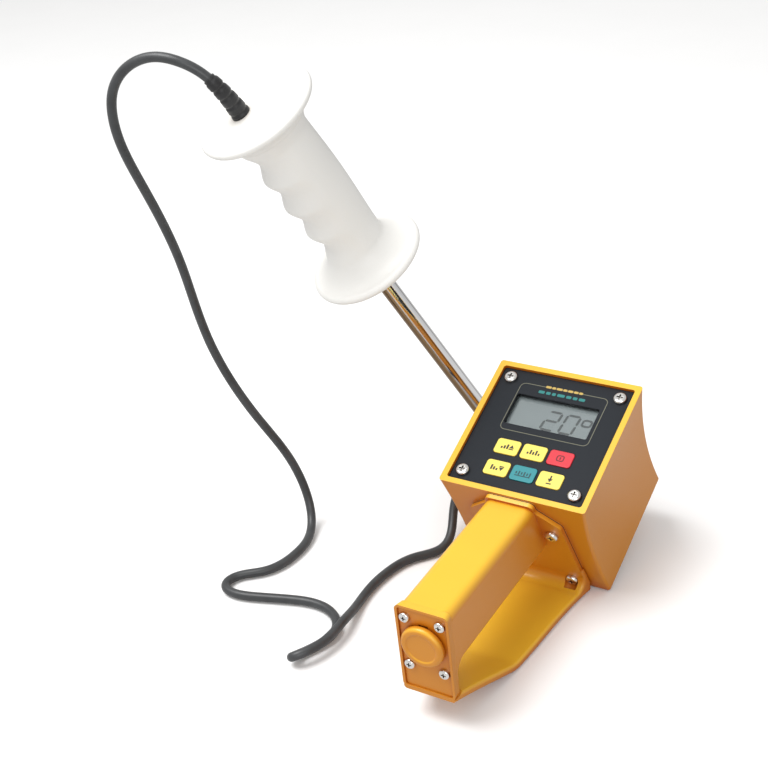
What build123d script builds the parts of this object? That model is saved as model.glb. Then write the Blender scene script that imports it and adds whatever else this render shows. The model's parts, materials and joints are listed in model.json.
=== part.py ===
from build123d import *

import os
from math import atan, cos, radians, sin

# Hand-held moisture meter for grain and forage, with a push-in probe on a flexible lead.
# Millimetres, +Z up. Origin on the floor, on the meter's mid-plane, below the root of the
# handle. +Y runs along the handle towards the head, +X to the right of the display.

GAP = 0.05                      # clearance left between pieces that touch
SLIP = 0.15                     # clearance round a piece that slides

# ---- head: a square box, its display face tilted back towards the operator ----
TILT = 20.35
FACE_Y, FACE_Z = 38.8, 89.1     # centre of the display face
FRONT_W, FRONT_H = 85.0, 86.4
REAR_W, REAR_H = 83.2, 79.6
HEAD_D = 79.7
WAIST = 2.4                     # how far each wall bows in at mid depth
WALL = 2.8
EDGE_R = 1.6
REAR_EDGE_R = 1.0
CAVITY_R = 2.5
RIM = 3.3
LEDGE = 3.0
BOSS_R, BOSS_L = 4.6, 28.0
PILOT_R, PILOT_L = 1.6, 13.0

# ---- display panel, lying in the head's open front ----
PANEL_DROP = 1.8
PANEL_T = 2.0
PANEL_CORNER_R = 1.5
GASKET_T = 0.8
PANEL_SCREW_X, PANEL_SCREW_Y = 32.7, 33.2
PANEL_SCREW_R, PANEL_SCREW_HEAD_R, PANEL_SCREW_HEAD_T = 1.5, 3.7, 2.3
LCD_W, LCD_H, LCD_Y = 49.0, 21.0, 13.5
LENS_BORDER, LENS_T = 1.8, 1.2
GLASS_W, GLASS_H, GLASS_T = 53.0, 27.0, 2.6
HOLDER_WALL = 1.6
STRIP_W, STRIP_Y = 2.2, 10.5
KEY_W, KEY_H, KEY_R = 13.9, 9.7, 1.8
KEY_PITCH_X, KEY_PITCH_Y = 15.6, 14.5
KEY_X, KEY_Y = 0.6, -19.75      # centre of the keypad
KEY_RISE, KEY_TRAVEL = 0.6, 0.5
KEY_LIP, KEY_FLANGE_T, KEY_STEM_R, KEY_STEM_L = 0.6, 0.8, 1.5, 0.7
KEY_NAMES = (
    "key_top_left", "key_top_middle", "key_top_right",
    "key_bottom_left", "key_bottom_middle", "key_bottom_right",
)

# ---- electronics, hung from the back of the panel ----
BOARD_N, BOARD_T, BOARD_SIZE = -11.4, 1.6, 68.0
STANDOFF_X, STANDOFF_Y, STANDOFF_R = 31.0, 20.0, 2.75
BOARD_SCREW_R = 1.2
SWITCH_SIZE, SWITCH_T, ACTUATOR_R = 6.0, 3.5, 1.7
CHIP_W, CHIP_H, CHIP_T, CHIP_AT = 18.0, 9.0, 2.6, (0, 12)
LEG_PITCH, LEG_COUNT, LEG_W, LEG_L = 2.54, 7, 0.5, 1.2
CAPACITOR_R, CAPACITOR_L, CAPACITOR_AT = 3.0, 8.0, ((-16, -8), (16, -8))
PLUG_W, PLUG_H, PLUG_T = 9.0, 6.0, 7.0
BATTERY_PLUG_AT, PROBE_PLUG_AT = (20, 2), (-22, 8)
WIRE_R = 0.6
LEAD_START, LEAD_END, LEAD_OUT, LEAD_SWEEP = 4.0, 2.0, 1.0, 9.0

# ---- handle frame: hollow grip bar, mounting flange and hand guard in one moulding ----
HANDLE_END = -99.0
BAR_TOP, BAR_DEPTH, BAR_W, BAR_EDGE_R = 70.6, 34.0, 28.2, 5.2
BAR_CAVITY_W, BAR_CAVITY_H, BAR_CAVITY_R = 21.8, 27.6, 2.5
END_W, END_TOP, END_BOTTOM, END_R = 29.7, 71.2, 18.6, 3.0
LIP_LENGTH, LIP_DROP, END_WALL = 5.0, 1.0, 8.0
GUARD_T = 4.8
GUARD_KINK_Y, GUARD_RISE = -48.6, 17.5
GUARD_EDGE_R, GUARD_BEND_R, GUARD_ROOT_R, ROOT_H = 1.8, 20.0, 6.0, 14.5
WEB_R, UNDERSIDE_R = 6.0, 3.0
GUARD_HALF_WIDTHS = ((26.0, 31.2), (-12.6, 25.9), (-48.6, 22.6), (-73.0, 18.3), (-99.0, 14.6))
PAD_RISE, PAD_T = 0.3, 4.6      # mounting pad on the head's lower wall
FLANGE_GASKET_T, FLANGE_T = 0.4, 2.4
FLANGE_EDGE = ((14.1, -1.0), (14.1, -6.4), (26.8, -17.2), (30.2, -77.4))
FLANGE_CORNER_R, FLANGE_HOLE_R, FLANGE_SCREW_R = 3.0, 2.15, 2.0
FLANGE_SCREWS = ((20.0, -25.2), (-20.0, -25.2), (22.6, -69.4), (-22.6, -69.4))
FLANGE_SCREW_HEAD_R, FLANGE_SCREW_HEAD_T = 3.6, 2.4
NUT_R, NUT_T = 4.0, 3.2

# ---- battery compartment and its quarter-turn cap ----
TUBE_Z, TUBE_R, TUBE_BORE_R = 50.1, 9.4, 7.5
TUBE_START, TUBE_STOP = -91.0, 16.0
CELL_R, CELL_L, NUB_R, NUB_L = 7.1, 49.2, 2.7, 1.1
CELL_START = -86.5
CONTACT_T = 0.8
CAP_R, CAP_T, CAP_EDGE_R, CAP_DISH_R, CAP_DISH = 11.75, 4.6, 1.9, 8.6, 0.5
SPIGOT_R, SPIGOT_SLIP = 9.5, 0.08
LUG_R, LUG_W, LUG_T = 11.2, 5.0, 1.4
SPRING_R, SPRING_WIRE_R, SPRING_PITCH, SPRING_L = 4.6, 0.4, 1.9, 5.2
SPRING_START = -93.2
RING_SEAL_R = 0.6
POCKET_DEPTH, POCKET_INSET = 4.2, 1.5
END_PLATE_T, END_GASKET_T = 2.6, 0.6
END_SCREW_X, END_SCREW_ZS = 9.7, (64.1, 34.6)
END_SCREW_R, END_SCREW_HEAD_R, END_SCREW_HEAD_T = 1.4, 2.9, 1.9
END_BOSS_R, END_BOSS_L = 3.0, 14.0

# ---- lead entry in the head's left wall ----
GLAND_N, GLAND_PAD_X, GLAND_INSIDE_X = -60.0, -42.4, -36.6
GLAND_PAD_R, GLAND_THREAD_R, GLAND_BODY_R = 8.6, 4.9, 7.0
GLAND_COLLAR_T, GLAND_NUT_T, GLAND_NUT_R = 3.0, 9.0, 6.4
LOCKNUT_R, LOCKNUT_T = 7.5, 2.6

# ---- probe: leans over the meter with its point on the floor ----
TIP_X, TIP_Y, TIP_Z = -60.8, 127.5, 0.4
LEAN, HEADING = 27.6, 60.0      # away from vertical, and its compass angle from +X
ROD_R, ROD_WALL, ROD_TOP = 5.0, 1.1, 262.0
TIP_CONE_L, RING_L = 13.0, 4.0
CORE_R, SLEEVE_PROUD = 1.2, 4.0
LOW_FLANGE_Z, TOP_FLANGE_Z = 194.5, 306.0
HAND_FLANGE_R, HAND_FLANGE_T = 33.0, 5.0
GRIP_R, DOME = 18.8, 4.6
SEAM_Z = 296.5
FINGER_COUNT, FINGER_PITCH, FINGER_R, FINGER_DEPTH, FINGER_FIRST_Z = 4, 20.5, 12.5, 3.4, 218.5
GRIP_BORE_R, GRIP_BORE_Z = 8.5, 258.0
ROD_BOSS_R, ROD_BOSS_END_R, ROD_BOSS_L = 8.0, 7.0, 3.2
BOOT_X, BOOT_R, BOOT_END_R, BOOT_STEM_R = 6.5, 5.3, 3.6, 4.2
BOOT_L, BOOT_RIBS, BOOT_GROOVE = 25.0, 5, 0.55
ROD_CLIP_T = 2.4
TIP_STEM_R, TIP_STEM_L = 2.5, 7.5
SENSOR_R, SENSOR_L, SENSOR_Z = 1.0, 4.0, 9.0
CAP_SPIGOT_R, CAP_SPIGOT_L = 12.0, 6.0
BOOT_STEM_L, BOOT_SWAY = 12.0, (-2.4, -1.4, 0.3)
WRIST_R, TRUMPET_L = 17.4, 19.0

# ---- lead between meter and probe ----
CABLE_R, CABLE_TAIL = 2.6, 14.0
FLOOR_Z, OVER_Z = 3.0, 8.4      # centre line on the floor, and where it lies over itself
METER_RUN = (
    (-64, 54, 25), (-63, 43, 13), (-60, 33, 6), (-61, 24, FLOOR_Z), (-67, 17, FLOOR_Z), (-75, 8, FLOOR_Z),
    (-80, -6, FLOOR_Z), (-82, -24, FLOOR_Z), (-80, -42, 4), (-77, -60, OVER_Z),
    (-77, -74, OVER_Z), (-86, -94, OVER_Z),
)
FOLD_DIR = Vector(-4, -5, 0).normalized()
EVEN_PACE = (1, 1)
FLOOR_RUN = (
    (-91, -90, FLOOR_Z), (-83, -76, FLOOR_Z), (-80, -64, FLOOR_Z), (-86, -53, FLOOR_Z),
    (-100, -47, FLOOR_Z), (-120, -50, FLOOR_Z), (-140, -56, FLOOR_Z), (-155, -58, FLOOR_Z),
    (-163, -54, FLOOR_Z), (-162, -46, FLOOR_Z), (-149, -36, FLOOR_Z), (-141, -23, FLOOR_Z),
    (-139, -6, FLOOR_Z),
)
RISE_DIR = Vector(0, 1, 0)
RISING_RUN = (
    (-146, 16, 7), (-155, 22, 33), (-170, 12, 75), (-188, 2, 130), (-192, -5, 184),
    (-197, -18, 235), (-198, -27, 268), (-193, -27, 291), (-182, -24, 302),
    (-168, -21, 306), (-156, -19, 304),
)
BOOT_TOP_DIR = Vector(0.62, 0.25, -0.74).normalized()


def screws(seat, points, head_r, head_h, shank_r, shank_l):
    """Pan-head cross-recess screws, one per point, their heads standing on the seat plane."""
    with BuildPart() as made:
        with BuildSketch(seat.offset(GAP)):
            with Locations(*points):
                Circle(head_r)
        extrude(amount=head_h)
        crowns = made.edges().filter_by(GeomType.CIRCLE).group_by(Axis(seat.origin, seat.z_dir))[-1]
        fillet(crowns, head_h * 0.6)
        with BuildSketch(seat.offset(head_h + GAP)):
            with Locations(*points):
                Rectangle(head_r * 0.95, head_r * 0.24)
                Rectangle(head_r * 0.24, head_r * 0.95)
        extrude(amount=-head_h * 0.5, mode=Mode.SUBTRACT)
        with BuildSketch(seat.offset(GAP)):
            with Locations(*points):
                Circle(shank_r)
        extrude(amount=-shank_l)
    return made


def wires(*paths):
    """Round hook-up wires along smooth paths, one path of points per wire."""
    with BuildPart() as made:
        for path in paths:
            with BuildLine() as run:
                Spline(*path)
            with BuildSketch(Plane(origin=run.line @ 0, z_dir=run.line % 0)):
                Circle(WIRE_R)
            sweep(path=run.line)
    return made


def flange_outline():
    """Rounded outline shared by the mounting flange, its gasket and the pad behind them."""
    with BuildSketch() as made:
        with BuildLine():
            Polyline(*FLANGE_EDGE, *[(-x, y) for x, y in reversed(FLANGE_EDGE)], close=True)
        make_face()
        fillet(made.vertices(), FLANGE_CORNER_R)
    return made.sketch


# Display face: local x to the right, local y up the face, local z out of it.
FACE = Plane(
    origin=(0, FACE_Y, FACE_Z),
    x_dir=(1, 0, 0),
    z_dir=(0, -sin(radians(TILT)), cos(radians(TILT))),
)
HEAD_AXIS = Axis(FACE.origin, FACE.z_dir)
# Mounting pad: local x to the right, local y towards the display face, local z out of the head.
WALL_SLOPE = radians(TILT) + atan((FRONT_H - REAR_H) / (2 * HEAD_D))
PAD = Plane(
    origin=FACE.from_local_coords((0, -FRONT_H / 2 - PAD_RISE, 0)),
    x_dir=(1, 0, 0),
    z_dir=(0, -cos(WALL_SLOPE), -sin(WALL_SLOPE)),
)
# Handle end: local x to the right, local y up, local z out towards the operator.
END = Plane(origin=(0, HANDLE_END, 0), x_dir=(1, 0, 0), z_dir=(0, -1, 0))
# Battery tube: local z from the handle end towards the head.
TUBE = Plane(origin=(0, 0, TUBE_Z), x_dir=(1, 0, 0), z_dir=(0, 1, 0))
# Lead entry: local z out of the head's left wall.
GLAND_AT = FACE.from_local_coords((0, 0, GLAND_N))
GLAND = Plane(origin=(GLAND_PAD_X, GLAND_AT.Y, GLAND_AT.Z), x_dir=(0, -1, 0), z_dir=(-1, 0, 0))
# Probe: local z up the rod from its point, local x towards the finger grooves.
ROD_DIR = Vector(
    -sin(radians(LEAN)) * cos(radians(HEADING)),
    -sin(radians(LEAN)) * sin(radians(HEADING)),
    cos(radians(LEAN)),
)
FINGER_DIR = Vector(
    -cos(radians(LEAN)) * cos(radians(HEADING)),
    -cos(radians(LEAN)) * sin(radians(HEADING)),
    -sin(radians(LEAN)),
)
PROBE = Plane(origin=(TIP_X, TIP_Y, TIP_Z), x_dir=FINGER_DIR, z_dir=ROD_DIR)
PROBE_SECTION = Plane(origin=PROBE.origin, x_dir=PROBE.x_dir, z_dir=-PROBE.y_dir)
PROBE_AXIS = Axis(PROBE.origin, PROBE.z_dir)

PANEL_FACE, PANEL_BACK = FACE.offset(-PANEL_DROP), FACE.offset(-PANEL_DROP - PANEL_T)
BACK_N = -PANEL_DROP - PANEL_T
LEDGE_N = BACK_N - GASKET_T
LENS_N = BACK_N - LENS_T
GLASS_N = LENS_N - GAP - GLASS_T
BOARD_BACK = Plane(
    origin=FACE.from_local_coords((0, 0, BOARD_N - BOARD_T)), x_dir=(1, 0, 0), z_dir=-FACE.z_dir
)
RECESS_W, RECESS_H = FRONT_W - 2 * RIM, FRONT_H - 2 * RIM
INNER_W, INNER_H = RECESS_W - 2 * LEDGE, RECESS_H - 2 * LEDGE
# Depth, width, height and upward shift of the head's outside and inside; its lower wall is flat.
MID_W = (FRONT_W + REAR_W) / 2 - 2 * WAIST
MID_H = (FRONT_H + REAR_H) / 2 - WAIST
HEAD_SECTIONS = (
    (0, FRONT_W, FRONT_H, 0),
    (HEAD_D / 2, MID_W, MID_H, -WAIST / 2),
    (HEAD_D, REAR_W, REAR_H, 0),
)
CAVITY_SECTIONS = (
    (-LEDGE_N, INNER_W, INNER_H, 0),
    (HEAD_D / 2, MID_W - 2 * WALL, MID_H - 2 * WALL, -WAIST / 2),
    (HEAD_D - WALL, REAR_W - 2 * WALL, REAR_H - 2 * WALL, 0),
)
PANEL_SCREWS = [(x, y) for x in (-PANEL_SCREW_X, PANEL_SCREW_X) for y in (-PANEL_SCREW_Y, PANEL_SCREW_Y)]
STANDOFFS = [(x, y) for x in (-STANDOFF_X, STANDOFF_X) for y in (-STANDOFF_Y, STANDOFF_Y)]
KEY_CENTRES = [
    (KEY_X + column * KEY_PITCH_X, KEY_Y - row * KEY_PITCH_Y / 2)
    for row in (-1, 1)
    for column in (-1, 0, 1)
]
FLANGE_OUT = FLANGE_GASKET_T + FLANGE_T
END_SCREWS = [(x, z) for x in (-END_SCREW_X, END_SCREW_X) for z in END_SCREW_ZS]
POCKET_W = END_W - 2 * POCKET_INSET
POCKET_H = END_TOP - END_BOTTOM - 2 * POCKET_INSET
END_MID_Z = (END_TOP + END_BOTTOM) / 2
PLATE_FACE = END.offset(-POCKET_DEPTH + END_GASKET_T + END_PLATE_T)


# ================= head =================
with BuildPart() as head_housing:
    for depth, width, height, shift in HEAD_SECTIONS:
        with BuildSketch(FACE.offset(-depth)):
            with Locations((0, shift)):
                RectangleRounded(width, height, EDGE_R)
    loft()
    fillet(head_housing.faces().sort_by(HEAD_AXIS)[0].edges(), REAR_EDGE_R)
    for depth, width, height, shift in CAVITY_SECTIONS:
        with BuildSketch(FACE.offset(-depth)):
            with Locations((0, shift)):
                RectangleRounded(width, height, CAVITY_R)
    loft(mode=Mode.SUBTRACT)
    with BuildSketch(FACE.offset(LEDGE_N)):
        with Locations(*PANEL_SCREWS):
            Circle(BOSS_R)
    extrude(amount=-BOSS_L)
    with BuildSketch(PAD):
        add(flange_outline())
    extrude(amount=-PAD_T)
    with BuildSketch(GLAND):
        Circle(GLAND_PAD_R)
    extrude(amount=GLAND_PAD_X - GLAND_INSIDE_X)
    with BuildSketch(FACE):
        RectangleRounded(RECESS_W, RECESS_H, PANEL_CORNER_R)
    extrude(amount=LEDGE_N, mode=Mode.SUBTRACT)
    with BuildSketch(FACE.offset(LEDGE_N)):
        with Locations(*PANEL_SCREWS):
            Circle(PILOT_R)
    extrude(amount=-PILOT_L, mode=Mode.SUBTRACT)
    with BuildSketch(PAD):
        with Locations(*FLANGE_SCREWS):
            Circle(FLANGE_HOLE_R)
    extrude(amount=-PAD_T, mode=Mode.SUBTRACT)
    with BuildSketch(TUBE.offset(-BAR_DEPTH / 2)):
        Circle(TUBE_R + GAP * 2)
    extrude(amount=BAR_DEPTH, mode=Mode.SUBTRACT)
    with BuildSketch(GLAND.offset(GLAND_PAD_R)):
        Circle(GLAND_THREAD_R + GAP)
    extrude(amount=-GLAND_PAD_R * 2, mode=Mode.SUBTRACT)

with BuildPart() as front_panel:
    with BuildSketch(PANEL_FACE):
        RectangleRounded(RECESS_W - 2 * SLIP, RECESS_H - 2 * SLIP, PANEL_CORNER_R)
        with Locations((0, LCD_Y)):
            RectangleRounded(LCD_W, LCD_H, KEY_R / 2, mode=Mode.SUBTRACT)
        with Locations(*KEY_CENTRES):
            RectangleRounded(KEY_W + 2 * SLIP, KEY_H + 2 * SLIP, KEY_R, mode=Mode.SUBTRACT)
        with Locations(*PANEL_SCREWS):
            Circle(PILOT_R, mode=Mode.SUBTRACT)
    extrude(amount=-PANEL_T)

with BuildPart() as panel_gasket:
    with BuildSketch(PANEL_BACK.offset(-GAP)):
        RectangleRounded(RECESS_W - 2 * SLIP, RECESS_H - 2 * SLIP, PANEL_CORNER_R)
        RectangleRounded(INNER_W, INNER_H, CAVITY_R, mode=Mode.SUBTRACT)
        with Locations(*PANEL_SCREWS):
            Circle(BOSS_R)
            Circle(PILOT_R, mode=Mode.SUBTRACT)
    extrude(amount=-GASKET_T + 2 * GAP)

panel_screws = screws(
    PANEL_FACE, PANEL_SCREWS, PANEL_SCREW_HEAD_R, PANEL_SCREW_HEAD_T, PANEL_SCREW_R, PILOT_L
)

with BuildPart() as lcd_window:
    with BuildSketch(PANEL_BACK.offset(-GAP)):
        with Locations((0, LCD_Y)):
            RectangleRounded(LCD_W + 2 * LENS_BORDER, LCD_H + 2 * LENS_BORDER, KEY_R)
    extrude(amount=-LENS_T + GAP)

with BuildPart() as lcd_module:
    with BuildSketch(FACE.offset(LENS_N - GAP)):
        with Locations((0, LCD_Y)):
            Rectangle(GLASS_W, GLASS_H)
    extrude(amount=-GLASS_T)

with BuildPart() as lcd_holder:
    with BuildSketch(PANEL_BACK.offset(-GAP)):
        with Locations((0, LCD_Y)):
            RectangleRounded(GLASS_W + 2 * HOLDER_WALL, GLASS_H + 2 * HOLDER_WALL, HOLDER_WALL)
            Rectangle(GLASS_W + 2 * GAP, GLASS_H + 2 * GAP, mode=Mode.SUBTRACT)
    extrude(amount=BOARD_N - BACK_N + 2 * GAP)

with BuildPart() as contact_strips:
    with BuildSketch(FACE.offset(GLASS_N - GAP)):
        with Locations((0, LCD_Y - STRIP_Y), (0, LCD_Y + STRIP_Y)):
            Rectangle(LCD_W, STRIP_W)
    extrude(amount=BOARD_N - GLASS_N + 2 * GAP)

with BuildPart() as main_board:
    with BuildSketch(FACE.offset(BOARD_N)):
        RectangleRounded(BOARD_SIZE, BOARD_SIZE, CAVITY_R)
        with Locations(*PANEL_SCREWS):
            Circle(BOSS_R + CAVITY_R, mode=Mode.SUBTRACT)
        with Locations(*STANDOFFS):
            Circle(BOARD_SCREW_R + GAP, mode=Mode.SUBTRACT)
    extrude(amount=-BOARD_T)

with BuildPart() as board_standoffs:
    with BuildSketch(PANEL_BACK.offset(-GAP)):
        with Locations(*STANDOFFS):
            RegularPolygon(STANDOFF_R, 6)
    extrude(amount=BOARD_N - BACK_N + 2 * GAP)
    with BuildSketch(FACE.offset(BOARD_N + GAP)):
        with Locations(*STANDOFFS):
            Circle(BOARD_SCREW_R + GAP)
    extrude(amount=SWITCH_SIZE, mode=Mode.SUBTRACT)

board_screws = screws(BOARD_BACK, STANDOFFS, 2 * BOARD_SCREW_R, BOARD_T, BOARD_SCREW_R, SWITCH_SIZE)

with BuildPart() as key_switches:
    with BuildSketch(FACE.offset(BOARD_N + GAP)):
        with Locations(*KEY_CENTRES):
            RectangleRounded(SWITCH_SIZE, SWITCH_SIZE, WIRE_R)
    extrude(amount=SWITCH_T)
    with BuildSketch(FACE.offset(BOARD_N + GAP)):
        with Locations(*KEY_CENTRES):
            Circle(ACTUATOR_R)
    extrude(amount=BACK_N - KEY_FLANGE_T - KEY_STEM_L - KEY_TRAVEL - 3 * GAP - BOARD_N)

with BuildPart() as processor_chip:
    with BuildSketch(BOARD_BACK.offset(LEG_W)):
        with Locations(CHIP_AT):
            RectangleRounded(CHIP_W, CHIP_H, LEG_W)
    extrude(amount=CHIP_T)
    with BuildSketch(BOARD_BACK.offset(GAP)):
        with Locations(CHIP_AT):
            with GridLocations(LEG_PITCH, CHIP_H + LEG_L, LEG_COUNT, 2):
                Rectangle(LEG_W, 2 * LEG_L)
    extrude(amount=LEG_L)

with BuildPart() as board_capacitors:
    with BuildSketch(BOARD_BACK.offset(GAP)):
        with Locations(*CAPACITOR_AT):
            Circle(CAPACITOR_R)
    extrude(amount=CAPACITOR_L)
    fillet(board_capacitors.edges().group_by(Axis(BOARD_BACK.origin, BOARD_BACK.z_dir))[-1], LEG_W)

with BuildPart() as lead_plugs:
    with BuildSketch(BOARD_BACK.offset(GAP)):
        with Locations(BATTERY_PLUG_AT, PROBE_PLUG_AT):
            RectangleRounded(PLUG_W, PLUG_H, LEG_W)
    extrude(amount=PLUG_T)

keys = []
for centre in KEY_CENTRES:
    with BuildPart() as key:
        with BuildSketch(PANEL_BACK.offset(-GAP)):
            with Locations(centre):
                RectangleRounded(KEY_W, KEY_H, KEY_R)
        extrude(amount=PANEL_T + KEY_RISE + GAP)
        fillet(key.faces().sort_by(HEAD_AXIS)[-1].edges(), KEY_RISE * 0.6)
        with BuildSketch(PANEL_BACK.offset(-GAP)):
            with Locations(centre):
                RectangleRounded(KEY_W + 2 * KEY_LIP, KEY_H + 2 * KEY_LIP, KEY_R)
        extrude(amount=-KEY_FLANGE_T)
        with BuildSketch(PANEL_BACK.offset(-KEY_FLANGE_T - GAP)):
            with Locations(centre):
                Circle(KEY_STEM_R)
        extrude(amount=-KEY_STEM_L)
    keys.append(key)

# ================= handle =================
END_WALL_Y = HANDLE_END + END_WALL
GUARD_SLOPE = GUARD_RISE / (GUARD_KINK_Y - HANDLE_END)
INNER_END_Z = GUARD_T + (GUARD_KINK_Y - END_WALL_Y) * GUARD_SLOPE
FLANGE_FACE = PAD.offset(FLANGE_OUT)
FOOT_V = (GUARD_T - FLANGE_FACE.origin.Z) / FLANGE_FACE.y_dir.Z
FLANGE_FOOT = FLANGE_FACE.from_local_coords((0, FOOT_V, 0))
FLANGE_UP = FLANGE_FACE.from_local_coords((0, FOOT_V + ROOT_H, 0))
FLANGE_IN = PAD.from_local_coords((0, FOOT_V + ROOT_H, 0))
BAR_BOTTOM = BAR_TOP - BAR_DEPTH
BAR_MID_Z = BAR_TOP - BAR_DEPTH / 2
POCKET_FLOOR = END.offset(-POCKET_DEPTH)


def guard_mid_z(y):
    """Height of the middle of the guard's plate."""
    return GUARD_T / 2 + max(0, GUARD_KINK_Y - y) * GUARD_SLOPE


def is_guard_underside(edge):
    """True for the long edges below the middle of the plate."""
    middle = edge.center()
    return edge.bounding_box().size.Y > GUARD_T / 2 and middle.Z < guard_mid_z(middle.Y)


def is_guard_upper_side(edge):
    """True for the long edges above the middle of the plate, short of the end block and root."""
    middle = edge.center()
    clear = END_WALL_Y < middle.Y < FLANGE_FOOT.Y - GUARD_ROOT_R
    return edge.bounding_box().size.Y > GUARD_T / 2 and middle.Z > guard_mid_z(middle.Y) and clear


def is_underside_edge(edge):
    """True for the long edges under the bar and down the inner side of the end block."""
    middle = edge.center()
    on_side = edge.bounding_box().size.X < GAP
    return on_side and middle.Y > END_WALL_Y - GAP and middle.Z < BAR_BOTTOM + GAP


with BuildPart() as grip_bar:
    with BuildSketch(Plane.YZ) as bar_profile:
        with BuildLine():
            Polyline(
                (HANDLE_END + LIP_DROP, BAR_TOP),
                (HANDLE_END + LIP_DROP, GUARD_RISE + GUARD_T / 2),
                (END_WALL_Y, INNER_END_Z - GUARD_T / 2),
                (END_WALL_Y, BAR_BOTTOM),
                (BAR_DEPTH, BAR_BOTTOM),
                (BAR_DEPTH, BAR_TOP),
                close=True,
            )
        make_face()
        fillet(bar_profile.vertices().sort_by_distance((END_WALL_Y, BAR_BOTTOM))[0], WEB_R)
    extrude(amount=BAR_W / 2, both=True)
    fillet(grip_bar.edges().filter_by(is_underside_edge), UNDERSIDE_R)
    fillet(grip_bar.faces().sort_by(Axis.Z)[-1].edges().filter_by(Axis.Y), BAR_EDGE_R)

with BuildPart() as handle_frame:
    # hand guard: flat foot, upswept end, and a filleted root where it meets the flange
    with BuildSketch(Plane.YZ) as guard_profile:
        with BuildLine():
            Polyline(
                (FACE_Y, 0),
                (GUARD_KINK_Y, 0),
                (HANDLE_END, GUARD_RISE),
                (HANDLE_END, INNER_END_Z),
                (END_WALL_Y, INNER_END_Z),
                (GUARD_KINK_Y, GUARD_T),
                (FLANGE_FOOT.Y, FLANGE_FOOT.Z),
                (FLANGE_UP.Y, FLANGE_UP.Z),
                (FLANGE_IN.Y, FLANGE_IN.Z),
                close=True,
            )
        make_face()
        fillet(guard_profile.vertices().sort_by_distance((GUARD_KINK_Y, GUARD_T / 2))[:2], GUARD_BEND_R)
        root = guard_profile.vertices().sort_by_distance((FLANGE_FOOT.Y, FLANGE_FOOT.Z))[0]
        fillet(root, GUARD_ROOT_R)
    extrude(amount=FRONT_W / 2, both=True)
    with BuildSketch(Plane.XY):
        with BuildLine():
            side = Spline(*[(half, y) for y, half in GUARD_HALF_WIDTHS])
            mirror(side, about=Plane.YZ)
            Line(side @ 0, (-(side @ 0).X, (side @ 0).Y))
            Line(side @ 1, (-(side @ 1).X, (side @ 1).Y))
        make_face()
    extrude(amount=FACE_Y, mode=Mode.INTERSECT)
    fillet(handle_frame.edges().filter_by(is_guard_underside), GUARD_EDGE_R)
    fillet(handle_frame.edges().filter_by(is_guard_upper_side), GUARD_EDGE_R)
    # end block, flared to a lip round the end plate, then the bar
    for inward, width, top, bottom in (
        (0, END_W, END_TOP, END_BOTTOM),
        (LIP_LENGTH, BAR_W, BAR_TOP, END_BOTTOM + LIP_DROP),
    ):
        with BuildSketch(END.offset(-inward)):
            with Locations((0, (top + bottom) / 2)):
                RectangleRounded(width, top - bottom, END_R)
    loft()
    add(grip_bar.part)
    # mounting flange
    with BuildSketch(PAD.offset(FLANGE_GASKET_T)):
        add(flange_outline())
    extrude(amount=FLANGE_T)
    split(bisect_by=PAD.offset(FLANGE_GASKET_T), keep=Keep.TOP)
    with BuildSketch(PAD):
        with Locations(*FLANGE_SCREWS):
            Circle(FLANGE_HOLE_R)
    extrude(amount=FLANGE_OUT, mode=Mode.SUBTRACT)
    with BuildSketch(PAD.offset(FLANGE_OUT)):
        with Locations(*FLANGE_SCREWS):
            Circle(FLANGE_SCREW_HEAD_R + SLIP)
    extrude(amount=GUARD_ROOT_R, mode=Mode.SUBTRACT)
    # battery cavity, its bosses, and the pocket for the end plate
    with BuildSketch(POCKET_FLOOR):
        with Locations((0, BAR_MID_Z)):
            RectangleRounded(BAR_CAVITY_W, BAR_CAVITY_H, BAR_CAVITY_R)
    extrude(amount=HANDLE_END - BAR_DEPTH, mode=Mode.SUBTRACT)
    with BuildSketch(POCKET_FLOOR):
        with Locations(*END_SCREWS[:1], *END_SCREWS[2:3]):
            Circle(END_BOSS_R)
    extrude(amount=-END_BOSS_L)
    with BuildSketch(POCKET_FLOOR):
        with Locations((0, TUBE_Z)):
            Circle(LUG_R + RING_SEAL_R)
    extrude(amount=TUBE_START - GAP - POCKET_FLOOR.origin.Y, dir=(0, 1, 0), mode=Mode.SUBTRACT)
    with BuildSketch(END):
        with Locations((0, END_MID_Z)):
            RectangleRounded(POCKET_W, POCKET_H, END_R - POCKET_INSET)
    extrude(amount=-POCKET_DEPTH, mode=Mode.SUBTRACT)
    with BuildSketch(POCKET_FLOOR):
        with Locations(*END_SCREWS):
            Circle(END_SCREW_R + GAP)
    extrude(amount=-PILOT_L, mode=Mode.SUBTRACT)

with BuildPart() as flange_gasket:
    with BuildSketch(PAD.offset(GAP)):
        add(flange_outline())
        with Locations(*FLANGE_SCREWS):
            Circle(FLANGE_HOLE_R, mode=Mode.SUBTRACT)
    extrude(amount=FLANGE_GASKET_T - 2 * GAP)
    with BuildSketch(TUBE.offset(-BAR_DEPTH / 2)):
        Circle(TUBE_R + GAP * 2)
    extrude(amount=BAR_DEPTH, mode=Mode.SUBTRACT)

flange_screws = screws(
    PAD.offset(FLANGE_OUT),
    FLANGE_SCREWS,
    FLANGE_SCREW_HEAD_R,
    FLANGE_SCREW_HEAD_T,
    FLANGE_SCREW_R,
    FLANGE_OUT + PAD_T + NUT_T,
)

with BuildPart() as flange_nuts:
    with BuildSketch(PAD.offset(-PAD_T - GAP)):
        with Locations(*FLANGE_SCREWS):
            RegularPolygon(NUT_R, 6)
            Circle(FLANGE_SCREW_R + GAP, mode=Mode.SUBTRACT)
    extrude(amount=-NUT_T + GAP)

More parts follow.
